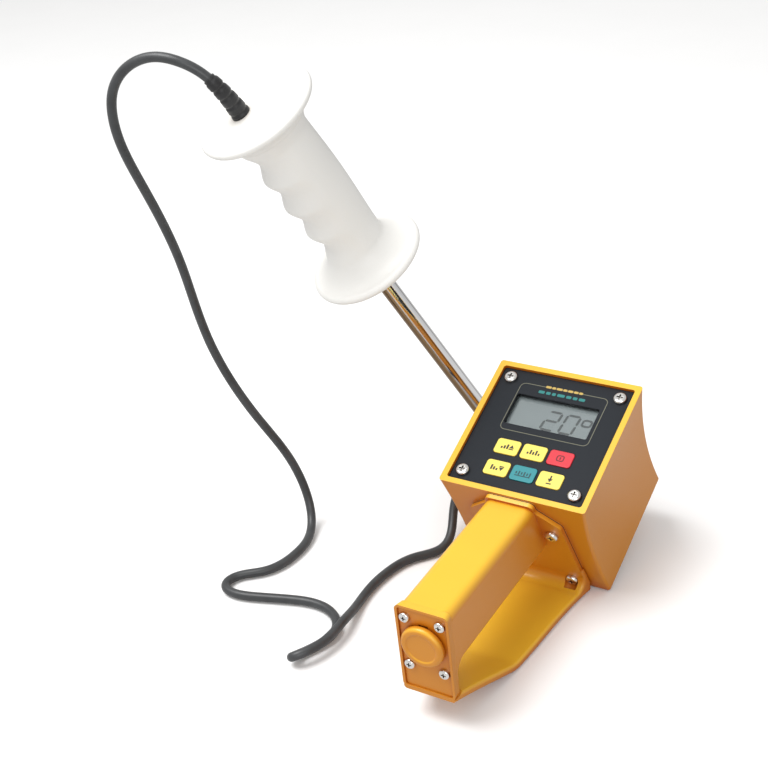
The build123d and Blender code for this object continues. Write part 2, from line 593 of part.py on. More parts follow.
with BuildPart() as end_gasket:
    with BuildSketch(POCKET_FLOOR.offset(GAP)):
        with Locations((0, END_MID_Z)):
            RectangleRounded(POCKET_W - 2 * SLIP, POCKET_H - 2 * SLIP, END_R - POCKET_INSET)
        with Locations((0, TUBE_Z)):
            Circle(LUG_R + RING_SEAL_R, mode=Mode.SUBTRACT)
        with Locations(*END_SCREWS):
            Circle(END_SCREW_R + GAP, mode=Mode.SUBTRACT)
    extrude(amount=END_GASKET_T - 2 * GAP)

with BuildPart() as end_plate:
    with BuildSketch(POCKET_FLOOR.offset(END_GASKET_T)):
        with Locations((0, END_MID_Z)):
            RectangleRounded(POCKET_W - 2 * SLIP, POCKET_H - 2 * SLIP, END_R - POCKET_INSET)
        with Locations((0, TUBE_Z)):
            Circle(SPIGOT_R + SPIGOT_SLIP, mode=Mode.SUBTRACT)
            Rectangle(LUG_W + 2 * SLIP, 2 * LUG_R + 2 * SLIP, mode=Mode.SUBTRACT)
        with Locations(*END_SCREWS):
            Circle(END_SCREW_R + GAP, mode=Mode.SUBTRACT)
    extrude(amount=END_PLATE_T)

end_plate_screws = screws(
    PLATE_FACE, END_SCREWS, END_SCREW_HEAD_R, END_SCREW_HEAD_T, END_SCREW_R, PILOT_L
)

# Quarter-turn cap: a spigot with two lugs that lie behind the end plate when locked.
with BuildPart() as battery_cap:
    with BuildSketch(PLATE_FACE.offset(2 * RING_SEAL_R)):
        with Locations((0, TUBE_Z)):
            Circle(CAP_R)
    extrude(amount=CAP_T - 2 * RING_SEAL_R)
    fillet(battery_cap.faces().sort_by(Axis.Y)[0].edges(), CAP_EDGE_R)
    with BuildSketch(PLATE_FACE.offset(CAP_T)):
        with Locations((0, TUBE_Z)):
            Circle(CAP_DISH_R)
    extrude(amount=-CAP_DISH, mode=Mode.SUBTRACT)
    with BuildSketch(PLATE_FACE.offset(2 * RING_SEAL_R)):
        with Locations((0, TUBE_Z)):
            Circle(SPIGOT_R)
    extrude(amount=-2 * RING_SEAL_R - END_PLATE_T - LUG_T - GAP)
    with BuildSketch(PLATE_FACE.offset(-END_PLATE_T - GAP)):
        with Locations((0, TUBE_Z)):
            Circle(LUG_R)
            Rectangle(LUG_R * 2, LUG_W, mode=Mode.INTERSECT)
    extrude(amount=-LUG_T)

with BuildPart() as cap_seal:
    with BuildSketch(Plane(origin=(0, PLATE_FACE.origin.Y, TUBE_Z), x_dir=(0, 1, 0), z_dir=(1, 0, 0))):
        with Locations((-RING_SEAL_R, SPIGOT_R + RING_SEAL_R + GAP)):
            Circle(RING_SEAL_R - GAP)
    revolve(axis=Axis((0, 0, TUBE_Z), (0, 1, 0)))

with BuildPart() as cap_spring:
    with BuildLine() as coil:
        Helix(SPRING_PITCH, SPRING_L, SPRING_R, center=TUBE.offset(SPRING_START).origin, direction=(0, 1, 0))
    with BuildSketch(Plane(origin=coil.line @ 0, z_dir=coil.line % 0)):
        Circle(SPRING_WIRE_R)
    sweep(path=coil.line, is_frenet=True)

with BuildPart() as battery_tube:
    with BuildSketch(TUBE.offset(TUBE_START)):
        Circle(TUBE_R)
        Circle(TUBE_BORE_R, mode=Mode.SUBTRACT)
    extrude(amount=TUBE_STOP - TUBE_START)

with BuildPart() as battery_cells:
    for start in (CELL_START, CELL_START + CELL_L + NUB_L + GAP):
        with BuildSketch(TUBE.offset(start)):
            Circle(CELL_R)
        extrude(amount=CELL_L)
        with BuildSketch(TUBE.offset(start + CELL_L)):
            Circle(NUB_R)
        extrude(amount=NUB_L)

CONTACT_START = CELL_START + 2 * (CELL_L + NUB_L) + 2 * GAP
with BuildPart() as inner_contact:
    with BuildSketch(TUBE.offset(CONTACT_START)):
        Circle(CELL_R)
    extrude(amount=CONTACT_T)

battery_leads = wires(*[
    (
        (side, CONTACT_START + CONTACT_T + WIRE_R + GAP, TUBE_Z),
        (side + LEAD_SWEEP, TUBE_STOP + LEAD_SWEEP, TUBE_Z),
        BOARD_BACK.from_local_coords((BATTERY_PLUG_AT[0] + side, BATTERY_PLUG_AT[1], PLUG_T + LEAD_SWEEP)),
        BOARD_BACK.from_local_coords((BATTERY_PLUG_AT[0] + side, BATTERY_PLUG_AT[1], PLUG_T + WIRE_R)),
    )
    for side in (-2 * WIRE_R, 2 * WIRE_R)
])

# ================= lead entry and lead =================
GLAND_INNER = GLAND_INSIDE_X - GLAND_PAD_X + LOCKNUT_T + LEAD_OUT
with BuildPart() as cable_gland:
    with BuildSketch(GLAND.offset(GAP)):
        RegularPolygon(GLAND_BODY_R, 6)
    extrude(amount=GLAND_COLLAR_T)
    with BuildSketch(GLAND.offset(-GLAND_INNER)):
        Circle(GLAND_THREAD_R)
    extrude(amount=GLAND_INNER + GLAND_COLLAR_T + GLAND_NUT_T / 2)
    with BuildSketch(GLAND.offset(-GLAND_INNER)):
        Circle(CABLE_R + GAP)
    extrude(amount=3 * GLAND_INNER, mode=Mode.SUBTRACT)

with BuildPart() as gland_nut:
    with BuildSketch(GLAND.offset(GLAND_COLLAR_T + 2 * GAP)):
        Circle(GLAND_NUT_R)
    extrude(amount=GLAND_NUT_T)
    fillet(gland_nut.faces().sort_by(Axis.X)[0].edges(), GLAND_NUT_R / 2)
    with BuildSketch(GLAND):
        Circle(GLAND_THREAD_R + GAP)
    extrude(amount=GLAND_COLLAR_T + GLAND_NUT_T / 2 + 2 * GAP, mode=Mode.SUBTRACT)
    with BuildSketch(GLAND):
        Circle(CABLE_R + GAP)
    extrude(amount=2 * GLAND_INNER, mode=Mode.SUBTRACT)

with BuildPart() as gland_locknut:
    with BuildSketch(GLAND.offset(GLAND_PAD_X - GLAND_INSIDE_X - GAP)):
        RegularPolygon(LOCKNUT_R, 6)
        Circle(GLAND_THREAD_R + GAP, mode=Mode.SUBTRACT)
    extrude(amount=-LOCKNUT_T)

probe_leads = wires(*[
    (
        GLAND.from_local_coords((0, side, -GLAND_INNER - LEAD_START)),
        GLAND.from_local_coords((0, side, -GLAND_INNER - LEAD_SWEEP)),
        BOARD_BACK.from_local_coords((PROBE_PLUG_AT[0] - side, PROBE_PLUG_AT[1], PLUG_T + LEAD_SWEEP)),
        BOARD_BACK.from_local_coords((PROBE_PLUG_AT[0] - side, PROBE_PLUG_AT[1], PLUG_T + WIRE_R)),
    )
    for side in (-2 * WIRE_R, 2 * WIRE_R)
])

# The lead leaves the gland, lies on the floor, doubles back in a tight fold with one strand
# over the other, wanders to the left, then rises and arches over into the probe's boot.
BOOT_FOOT = PROBE.from_local_coords((BOOT_X, 0, TOP_FLANGE_Z + DOME))
BOOT_TOP = BOOT_FOOT + ROD_DIR * BOOT_L + Vector(*BOOT_SWAY)
FOLD_START, FOLD_STOP = Vector(*METER_RUN[-1]), Vector(*FLOOR_RUN[0])
FOLD_TIP = (FOLD_START + FOLD_STOP) / 2 + FOLD_DIR * (FOLD_START - FOLD_STOP).length / 2
with BuildLine():
    gland_run = Line(
        GLAND.offset(-GLAND_INNER - LEAD_END).origin,
        GLAND.offset(GLAND_COLLAR_T + GLAND_NUT_T + LEAD_OUT).origin,
    )
    meter_run = Spline(gland_run @ 1, *METER_RUN, tangents=((-1, 0, 0), FOLD_DIR), tangent_scalars=EVEN_PACE)
    fold = ThreePointArc(FOLD_START, FOLD_TIP, FOLD_STOP)
    floor_run = Spline(*FLOOR_RUN, tangents=(FOLD_DIR * -1, RISE_DIR), tangent_scalars=EVEN_PACE)
    rising_run = Spline(
        floor_run @ 1, *RISING_RUN, BOOT_TOP, tangents=(RISE_DIR, BOOT_TOP_DIR), tangent_scalars=EVEN_PACE
    )
    boot_run = Spline(BOOT_TOP, BOOT_FOOT, tangents=(BOOT_TOP_DIR, ROD_DIR * -1), tangent_scalars=EVEN_PACE)
    grip_run = Line(BOOT_FOOT, BOOT_FOOT - ROD_DIR * CABLE_TAIL)

with BuildPart() as cable:
    for run in (gland_run, meter_run, fold, floor_run, rising_run, boot_run, grip_run):
        with BuildSketch(Plane(origin=run @ 0, z_dir=run % 0)):
            Circle(CABLE_R)
        sweep(path=run)

# ================= probe =================
RIM_R = HAND_FLANGE_T / 2
FLANGE_FLAT_R = HAND_FLANGE_R - RIM_R
with BuildPart() as hand_form:
    with BuildSketch(PROBE_SECTION):
        with BuildLine():
            Polyline(
                (0, LOW_FLANGE_Z - RIM_R - ROD_BOSS_L),
                (ROD_BOSS_END_R, LOW_FLANGE_Z - RIM_R - ROD_BOSS_L),
                (ROD_BOSS_R, LOW_FLANGE_Z - RIM_R),
                (FLANGE_FLAT_R, LOW_FLANGE_Z - RIM_R),
            )
            ThreePointArc(
                (FLANGE_FLAT_R, LOW_FLANGE_Z - RIM_R),
                (HAND_FLANGE_R, LOW_FLANGE_Z),
                (FLANGE_FLAT_R, LOW_FLANGE_Z + RIM_R),
            )
            Spline(
                (FLANGE_FLAT_R, LOW_FLANGE_Z + RIM_R),
                (WRIST_R, LOW_FLANGE_Z + TRUMPET_L),
                tangents=((-1, 0), (0, 1)),
            )
            Spline(
                (WRIST_R, LOW_FLANGE_Z + TRUMPET_L),
                (GRIP_R, (LOW_FLANGE_Z + TOP_FLANGE_Z) / 2),
                (GRIP_R, TOP_FLANGE_Z - TRUMPET_L),
                tangents=((0, 1), (0, 1)),
            )
            Spline(
                (GRIP_R, TOP_FLANGE_Z - TRUMPET_L),
                (FLANGE_FLAT_R, TOP_FLANGE_Z - RIM_R),
                tangents=((0, 1), (1, 0)),
            )
            ThreePointArc(
                (FLANGE_FLAT_R, TOP_FLANGE_Z - RIM_R),
                (HAND_FLANGE_R, TOP_FLANGE_Z),
                (FLANGE_FLAT_R, TOP_FLANGE_Z + RIM_R),
            )
            TangentArc(
                (0, TOP_FLANGE_Z + DOME),
                (FLANGE_FLAT_R, TOP_FLANGE_Z + RIM_R),
                tangent=(1, 0),
            )
            Line((0, TOP_FLANGE_Z + DOME), (0, LOW_FLANGE_Z - RIM_R - ROD_BOSS_L))
        make_face()
    revolve(axis=PROBE_AXIS)

with BuildPart() as grip:
    add(hand_form.part)
    split(bisect_by=PROBE.offset(SEAM_Z), keep=Keep.BOTTOM)
    with BuildSketch(PROBE_SECTION):
        for finger in range(FINGER_COUNT):
            with Locations((GRIP_R + FINGER_R - FINGER_DEPTH, FINGER_FIRST_Z + finger * FINGER_PITCH)):
                Circle(FINGER_R)
    extrude(amount=HAND_FLANGE_R, both=True, mode=Mode.SUBTRACT)
    with BuildSketch(PROBE):
        Circle(ROD_R + GAP)
    extrude(amount=GRIP_BORE_Z, mode=Mode.SUBTRACT)
    with BuildSketch(PROBE.offset(GRIP_BORE_Z)):
        Circle(GRIP_BORE_R)
    extrude(amount=SEAM_Z - GRIP_BORE_Z, mode=Mode.SUBTRACT)
    with BuildSketch(PROBE.offset(SEAM_Z - CAP_SPIGOT_L)):
        Circle(CAP_SPIGOT_R)
    extrude(amount=CAP_SPIGOT_L, mode=Mode.SUBTRACT)

with BuildPart() as grip_cap:
    add(hand_form.part)
    split(bisect_by=PROBE.offset(SEAM_Z + GAP), keep=Keep.TOP)
    with BuildSketch(PROBE.offset(SEAM_Z - CAP_SPIGOT_L + GAP)):
        Circle(CAP_SPIGOT_R - GAP)
    extrude(amount=CAP_SPIGOT_L)
    with BuildSketch(PROBE.offset(SEAM_Z - CAP_SPIGOT_L)):
        Circle(GRIP_BORE_R - WALL)
    extrude(amount=CAP_SPIGOT_L, mode=Mode.SUBTRACT)
    with BuildSketch(PROBE.offset(SEAM_Z - CAP_SPIGOT_L)):
        with Locations((BOOT_X, 0)):
            Circle(BOOT_STEM_R + GAP)
    extrude(amount=TOP_FLANGE_Z, mode=Mode.SUBTRACT)

with BuildPart() as strain_relief:
    for step in range(2 * BOOT_RIBS + 1):
        along = step / (2 * BOOT_RIBS)
        radius = BOOT_R + (BOOT_END_R - BOOT_R) * along - BOOT_GROOVE * (step % 2)
        with BuildSketch(Plane(origin=boot_run @ (1 - along), z_dir=(boot_run % (1 - along)) * -1)):
            Circle(radius)
    loft(ruled=True)
    with BuildSketch(Plane(origin=BOOT_FOOT, z_dir=ROD_DIR)):
        Circle(BOOT_STEM_R)
    extrude(amount=-BOOT_STEM_L)
    with BuildLine() as bore_run:
        add(boot_run)
        Line(BOOT_FOOT, BOOT_FOOT - ROD_DIR * (BOOT_STEM_L + LEAD_OUT))
    with BuildSketch(Plane(origin=BOOT_TOP, z_dir=BOOT_TOP_DIR)):
        Circle(CABLE_R + GAP)
    sweep(path=bore_run.line, mode=Mode.SUBTRACT)
    split(bisect_by=Plane(origin=BOOT_FOOT - ROD_DIR * BOOT_STEM_L, z_dir=ROD_DIR), keep=Keep.TOP)

with BuildPart() as probe_rod:
    with BuildSketch(PROBE.offset(TIP_CONE_L + RING_L + GAP)):
        Circle(ROD_R)
        Circle(ROD_R - ROD_WALL, mode=Mode.SUBTRACT)
    extrude(amount=ROD_TOP - TIP_CONE_L - RING_L)

with BuildPart() as rod_clip:
    with BuildSketch(PROBE.offset(GRIP_BORE_Z + GAP)):
        Circle(GRIP_BORE_R - GAP)
        Circle(ROD_R + GAP, mode=Mode.SUBTRACT)
    extrude(amount=ROD_CLIP_T)

with BuildPart() as probe_tip:
    with BuildSketch(PROBE_SECTION):
        with BuildLine():
            Polyline(
                (0, 0),
                (ROD_R, TIP_CONE_L),
                (TIP_STEM_R, TIP_CONE_L),
                (TIP_STEM_R, TIP_CONE_L + TIP_STEM_L),
                (SENSOR_R + GAP, TIP_CONE_L + TIP_STEM_L),
                (SENSOR_R + GAP, SENSOR_Z),
                (0, SENSOR_Z),
                close=True,
            )
        make_face()
    revolve(axis=PROBE_AXIS)

with BuildPart() as temperature_sensor:
    with BuildSketch(PROBE.offset(SENSOR_Z + GAP)):
        Circle(SENSOR_R)
    extrude(amount=SENSOR_L)

with BuildPart() as insulator_ring:
    with BuildSketch(PROBE.offset(TIP_CONE_L + GAP)):
        Circle(ROD_R)
        Circle(TIP_STEM_R + GAP, mode=Mode.SUBTRACT)
    extrude(amount=RING_L - GAP)

CORE_START = TIP_CONE_L + TIP_STEM_L + GAP
with BuildPart() as insulator_sleeve:
    with BuildSketch(PROBE.offset(CORE_START)):
        Circle(ROD_R - ROD_WALL - GAP)
        Circle(CORE_R + GAP, mode=Mode.SUBTRACT)
    extrude(amount=ROD_TOP + SLEEVE_PROUD - CORE_START)

with BuildPart() as core_conductor:
    with BuildSketch(PROBE.offset(CORE_START)):
        Circle(CORE_R)
    extrude(amount=ROD_TOP + 2 * SLEEVE_PROUD - CORE_START)

grip_leads = wires(*[
    (
        PROBE.from_local_coords((BOOT_X + side, 0, TOP_FLANGE_Z + DOME - CABLE_TAIL - 2 * GAP)),
        PROBE.from_local_coords((BOOT_X / 2 + side, 0, (TOP_FLANGE_Z + ROD_TOP) / 2)),
        PROBE.from_local_coords((side, 0, ROD_TOP + 2 * SLEEVE_PROUD + WIRE_R)),
    )
    for side in (-2 * WIRE_R, 2 * WIRE_R)
])

# ================= write the pieces =================
PIECES = {
    "head_housing": head_housing,
    "front_panel": front_panel,
    "panel_gasket": panel_gasket,
    "panel_screws": panel_screws,
    "lcd_window": lcd_window,
    "lcd_module": lcd_module,
    "lcd_holder": lcd_holder,
    "contact_strips": contact_strips,
    "main_board": main_board,
    "board_standoffs": board_standoffs,
    "board_screws": board_screws,
    "key_switches": key_switches,
    "processor_chip": processor_chip,
    "board_capacitors": board_capacitors,
    "lead_plugs": lead_plugs,
    "handle_frame": handle_frame,
    "flange_gasket": flange_gasket,
    "flange_screws": flange_screws,
    "flange_nuts": flange_nuts,
    "end_gasket": end_gasket,
    "end_plate": end_plate,
    "end_plate_screws": end_plate_screws,
    "battery_cap": battery_cap,
    "cap_seal": cap_seal,
    "cap_spring": cap_spring,
    "battery_tube": battery_tube,
    "battery_cells": battery_cells,
    "inner_contact": inner_contact,
    "battery_leads": battery_leads,
    "cable_gland": cable_gland,
    "gland_nut": gland_nut,
    "gland_locknut": gland_locknut,
    "probe_leads": probe_leads,
    "cable": cable,
    "grip": grip,
    "grip_cap": grip_cap,
    "strain_relief": strain_relief,
    "probe_rod": probe_rod,
    "rod_clip": rod_clip,
    "probe_tip": probe_tip,
    "temperature_sensor": temperature_sensor,
    "insulator_ring": insulator_ring,
    "insulator_sleeve": insulator_sleeve,
    "core_conductor": core_conductor,
    "grip_leads": grip_leads,
}
PIECES.update(zip(KEY_NAMES, keys))

os.makedirs("parts", exist_ok=True)
for name, piece in PIECES.items():
    piece.part.label = name
    export_step(piece.part, f"parts/{name}.step")
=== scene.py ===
import heapq
import json
from math import atan, cos, degrees, hypot, pi, radians, sin, sqrt

import bmesh
import bpy
from mathutils import Matrix, Vector


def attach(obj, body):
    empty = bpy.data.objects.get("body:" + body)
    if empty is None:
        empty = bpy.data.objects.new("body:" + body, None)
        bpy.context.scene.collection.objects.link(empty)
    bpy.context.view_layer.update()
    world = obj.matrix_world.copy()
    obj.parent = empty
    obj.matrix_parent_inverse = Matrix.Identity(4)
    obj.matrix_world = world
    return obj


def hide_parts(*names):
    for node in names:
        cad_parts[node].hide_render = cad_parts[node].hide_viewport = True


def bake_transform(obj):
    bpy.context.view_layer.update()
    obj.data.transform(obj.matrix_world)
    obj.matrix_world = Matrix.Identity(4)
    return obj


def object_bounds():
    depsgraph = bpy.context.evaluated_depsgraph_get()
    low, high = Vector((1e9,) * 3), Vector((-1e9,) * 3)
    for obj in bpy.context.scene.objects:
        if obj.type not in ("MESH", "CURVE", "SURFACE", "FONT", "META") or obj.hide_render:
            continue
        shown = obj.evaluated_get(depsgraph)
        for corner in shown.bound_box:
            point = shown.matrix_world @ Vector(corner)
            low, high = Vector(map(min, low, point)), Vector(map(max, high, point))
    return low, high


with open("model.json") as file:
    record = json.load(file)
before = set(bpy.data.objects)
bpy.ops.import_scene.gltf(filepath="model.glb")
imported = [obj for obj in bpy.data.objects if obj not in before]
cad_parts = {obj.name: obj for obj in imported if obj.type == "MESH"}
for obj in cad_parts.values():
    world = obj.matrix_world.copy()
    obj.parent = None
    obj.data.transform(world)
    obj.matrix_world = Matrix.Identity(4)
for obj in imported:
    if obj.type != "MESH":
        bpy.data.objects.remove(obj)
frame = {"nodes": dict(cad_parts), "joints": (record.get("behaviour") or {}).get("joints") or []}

# A moisture meter with a push-in probe. Lengths in the shape functions are millimetres in a
# local frame of a piece; place() turns them into metres in the frame of the CAD model.
MM = 0.001
cad_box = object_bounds()
nodes = frame["nodes"]
joints = {joint["name"]: joint for joint in frame["joints"]}


# ================= places, read from the frame =================
def span(node, direction):
    """Lowest and highest reach of a CAD node along a direction, in millimetres."""
    reach = [vertex.co.dot(direction) / MM for vertex in nodes[node].data.vertices]
    return min(reach), max(reach)


def middle(node, direction):
    """Half way along a node's span."""
    return sum(span(node, direction)) / 2


def local_frame(x_dir, y_dir, z_dir, origin):
    """Matrix from local millimetres to metres in the row frame."""
    turn = Matrix((x_dir, y_dir, z_dir)).transposed()
    return Matrix.Translation(origin * MM) @ (turn * MM).to_4x4()


def point_at(x_dir, y_dir, z_dir, x, y, z):
    """The point with these three reaches, in millimetres."""
    return x_dir * x + y_dir * y + z_dir * z


RIGHT = Vector((1, 0, 0))
UP = Vector((0, 0, 1))
FACE_OUT = -Vector(joints["key_top_left_press"]["axis"])
FACE_UP = FACE_OUT.cross(RIGHT)
ROD_UP = Vector(joints["probe_draw"]["axis"])
FINGER = (ROD_UP * ROD_UP.z - UP).normalized()
ACROSS = ROD_UP.cross(FINGER)
END_OUT = Vector(joints["battery_cap_turn"]["axis"])

# Display face: x to the right, y up the face, z out of it, from the middle of the panel's front.
FACE = local_frame(RIGHT, FACE_UP, FACE_OUT, point_at(
    RIGHT, FACE_UP, FACE_OUT,
    middle("front_panel", RIGHT), middle("front_panel", FACE_UP), span("front_panel", FACE_OUT)[1],
))
# Probe: x towards the finger grooves, z up the rod from its point.
PROBE = local_frame(FINGER, ACROSS, ROD_UP, point_at(
    FINGER, ACROSS, ROD_UP,
    middle("probe_rod", FINGER), middle("probe_rod", ACROSS), span("probe_tip", ROD_UP)[0],
))
# Battery cap: z out of the handle's end, from the end plate's face.
CAP = local_frame(RIGHT, END_OUT.cross(RIGHT), END_OUT, point_at(
    RIGHT, END_OUT.cross(RIGHT), END_OUT,
    middle("battery_cap", RIGHT),
    middle("battery_cap", END_OUT.cross(RIGHT)),
    span("end_plate", END_OUT)[1],
))
GLAND_OUT = -RIGHT
GLAND_SIDE = Vector((0, -1, 0))
GLAND = local_frame(GLAND_SIDE, GLAND_OUT.cross(GLAND_SIDE), GLAND_OUT, point_at(
    GLAND_SIDE, GLAND_OUT.cross(GLAND_SIDE), GLAND_OUT,
    middle("gland_nut", GLAND_SIDE),
    middle("gland_nut", GLAND_OUT.cross(GLAND_SIDE)),
    span("gland_nut", GLAND_OUT)[0],
))


def probe_z(node):
    """A node's span up the rod, from the point of the probe."""
    tip = span("probe_tip", ROD_UP)[0]
    low, high = span(node, ROD_UP)
    return low - tip, high - tip


# ================= material helpers =================
class Shader:
    """A short way to write a node tree."""

    def __init__(self, name):
        self.material = bpy.data.materials.new(name)
        self.material.use_nodes = True
        self.tree = self.material.node_tree
        self.surface = self.tree.nodes["Principled BSDF"]
        self.output = self.tree.nodes["Material Output"]
        self.place = self.add("ShaderNodeTexCoord").outputs["Object"]

    def add(self, kind, **settings):
        node = self.tree.nodes.new(kind)
        for key, value in settings.items():
            setattr(node, key, value)
        return node

    def link(self, source, target):
        self.tree.links.new(source, target)

    def set(self, **values):
        """Sets or links inputs of the surface; underscores in a name stand for spaces."""
        for key, value in values.items():
            self.put(self.surface, key.replace("_", " "), value)

    def put(self, node, key, value):
        if isinstance(value, bpy.types.NodeSocket):
            self.link(value, node.inputs[key])
        else:
            node.inputs[key].default_value = value

    def noise(self, size_mm, detail=3.0, roughness=0.5, stretch=(1, 1, 1), distortion=0.0):
        """Noise whose grains are about size_mm across."""
        mapping = self.add("ShaderNodeMapping")
        mapping.inputs["Scale"].default_value = stretch
        self.link(self.place, mapping.inputs["Vector"])
        texture = self.add("ShaderNodeTexNoise")
        self.link(mapping.outputs["Vector"], texture.inputs["Vector"])
        texture.inputs["Scale"].default_value = 1 / (size_mm * MM)
        texture.inputs["Detail"].default_value = detail
        texture.inputs["Roughness"].default_value = roughness
        texture.inputs["Distortion"].default_value = distortion
        return texture.outputs["Fac"]

    def ramp(self, source, low, high, from_value=0.0, to_value=1.0):
        """source between low and high, mapped to from_value and to_value."""
        node = self.add("ShaderNodeMapRange")
        self.link(source, node.inputs["Value"])
        node.inputs["From Min"].default_value = low
        node.inputs["From Max"].default_value = high
        node.inputs["To Min"].default_value = from_value
        node.inputs["To Max"].default_value = to_value
        return node.outputs["Result"]

    def math(self, operation, a, b):
        node = self.add("ShaderNodeMath", operation=operation)
        self.put(node, 0, a)
        self.put(node, 1, b)
        return node.outputs["Value"]

    def mix(self, share, a, b):
        """Colour mix, from a at share 0 to b at share 1."""
        node = self.add("ShaderNodeMix", data_type="RGBA")
        self.put(node, 0, share)
        self.put(node, 6, a if isinstance(a, bpy.types.NodeSocket) else (*a, 1))
        self.put(node, 7, b if isinstance(b, bpy.types.NodeSocket) else (*b, 1))
        return node.outputs[2]

    def crease(self, reach_mm, low, high):
        """1 in corners and recesses where shade falls (ambient occlusion), 0 on open faces; it masks painted
        shade.
        """
        node = self.add("ShaderNodeAmbientOcclusion", samples=8)
        node.inputs["Distance"].default_value = reach_mm * MM
        return self.ramp(node.outputs["AO"], low, high, 1.0, 0.0)

    def facing(self, direction, low, high):
        """0 to 1 as the surface turns towards a direction."""
        dot = self.add("ShaderNodeVectorMath", operation="DOT_PRODUCT")
        self.link(self.add("ShaderNodeNewGeometry").outputs["Normal"], dot.inputs[0])
        dot.inputs[1].default_value = direction
        return self.ramp(dot.outputs["Value"], low, high)

    def bump(self, height, depth_mm, round_mm=0.0):
        """Relief of depth_mm, over edges that look rounded by round_mm."""
        node = self.add("ShaderNodeBump")
        node.inputs["Strength"].default_value = 1.0
        node.inputs["Distance"].default_value = depth_mm * MM
        self.link(height, node.inputs["Height"])
        if round_mm:
            bevel = self.add("ShaderNodeBevel", samples=4)
            bevel.inputs["Radius"].default_value = round_mm * MM
            self.link(bevel.outputs["Normal"], node.inputs["Normal"])
        self.link(node.outputs["Normal"], self.surface.inputs["Normal"])


def moulded(name, colour, crease_shade_colour, roughness, grain_mm=0.5, relief_mm=0.012, round_mm=0.35,
            coat=0.0, scuff=0.12, tone=0.06, side_shade_colour=None, specular=0.5):
    """Moulded plastic: slight colour drift, fine spark-eroded grain, faint scuffs, painted shade in creases and
    on faces turned away from up.
    """
    made = Shader(name)
    drift = made.noise(38, 2)
    shade = made.mix(drift, [c * (1 - tone) for c in colour], [min(1, c * (1 + tone)) for c in colour])
    # Painted shade: faces turned away from up take the darker side colour.
    if side_shade_colour:
        shade = made.mix(made.facing(UP, 0.15, 0.95), side_shade_colour, shade)
    # Painted shade in corners and recesses, by ambient occlusion.
    shade = made.mix(made.crease(9, 0.35, 0.95), shade, crease_shade_colour)
    grain = made.noise(grain_mm, 2, 0.6)
    streaks = made.noise(2.2, 4, 0.7, (1, 0.12, 1), 0.6)
    worn = made.ramp(streaks, 0.62, 0.8, 0.0, scuff)
    made.set(Base_Color=shade, Roughness=made.math("ADD", made.ramp(grain, 0.3, 0.7, roughness - 0.03,
             roughness + 0.03), worn), Coat_Weight=coat, Coat_Roughness=0.12, Specular_IOR_Level=specular)
    made.bump(made.math("ADD", made.math("MULTIPLY", drift, 0.8), grain), relief_mm, round_mm)
    return made.material


# Painted reflection: the side of a room and the colour bands a polished surface shows by its reflection
# direction.
PAINTED_REFLECTION_SIDE = Vector((0.86, 0.50, -0.10))
PAINTED_REFLECTION_BANDS = (
    (0.00, (0.02, 0.016, 0.012)), (0.10, (0.09, 0.055, 0.03)), (0.30, (0.17, 0.10, 0.045)),
    (0.47, (0.36, 0.24, 0.13)), (0.56, (0.80, 0.78, 0.76)), (0.80, (0.90, 0.90, 0.90)),
    (0.90, (0.30, 0.29, 0.29)), (0.95, (0.85, 0.85, 0.86)),
)


def painted_room_reflection(made, colour):
    """Painted reflection of a room in a polished surface's colour: a warm dark side, a bright side and a thin
    dark line.
    """
    dot = made.add("ShaderNodeVectorMath", operation="DOT_PRODUCT")
    made.link(made.add("ShaderNodeTexCoord").outputs["Reflection"], dot.inputs[0])
    dot.inputs[1].default_value = PAINTED_REFLECTION_SIDE
    bands = made.add("ShaderNodeValToRGB")
    made.link(made.ramp(dot.outputs["Value"], -1, 1), bands.inputs["Fac"])
    stops = bands.color_ramp.elements
    while len(stops) < len(PAINTED_REFLECTION_BANDS):
        stops.new(1.0)
    for stop, (place, tint) in zip(stops, PAINTED_REFLECTION_BANDS):
        stop.position = place
        stop.color = (*tint, 1)
    return bands.outputs["Color"]


def metal(name, colour, roughness, brushed_mm=0.25, brush=(1, 1, 1), scratch=0.15, corner_shade_colour=(0.1, 0.08, 0.06),
          painted_reflection=False):
    """Polished or plated metal with fine scratches and painted shade in its corners."""
    made = Shader(name)
    lines = made.noise(brushed_mm, 3, 0.7, brush)
    cloud = made.noise(9, 3)
    # Painted reflection of a room in the base colour.
    if painted_reflection:
        colour = painted_room_reflection(made, colour)
    # Painted shade: darker, browner colour in corners, by ambient occlusion.
    shade = made.mix(made.crease(1.2, 0.25, 0.8), colour, corner_shade_colour)
    rough = made.math("ADD", made.ramp(lines, 0.55, 0.8, roughness, roughness + scratch),
                      made.ramp(cloud, 0.4, 0.7, 0.0, 0.05))
    made.set(Base_Color=shade, Metallic=1.0, Roughness=rough)
    made.bump(lines, 0.002, 0.12)
    return made.material


def rubber(name, colour, roughness, sheen=0.0, grain_mm=0.35, relief_mm=0.02):
    """Rubber or soft vinyl: dusty bloom on the open faces, painted shade in creases."""
    made = Shader(name)
    bloom = made.noise(14, 4, 0.6)
    shade = made.mix(made.ramp(bloom, 0.35, 0.7), colour, [c * 1.5 + 0.006 for c in colour])
    # Painted shade: half the colour in creases, by ambient occlusion.
    shade = made.mix(made.crease(3, 0.3, 0.9), shade, [c * 0.5 for c in colour])
    grain = made.noise(grain_mm, 3, 0.6)
    made.set(Base_Color=shade, Roughness=made.ramp(grain, 0.3, 0.7, roughness - 0.05, roughness + 0.07),
             Sheen_Weight=sheen, Specular_IOR_Level=0.5)
    made.bump(grain, relief_mm)
    return made.material


def ink(name, colour, roughness=0.5):
    """Screen-printed ink, a little uneven."""
    made = Shader(name)
    patchy = made.noise(0.8, 4, 0.7)
    made.set(Base_Color=made.mix(patchy, [c * 0.86 for c in colour], colour), Roughness=roughness)
    made.bump(patchy, 0.004)
    return made.material


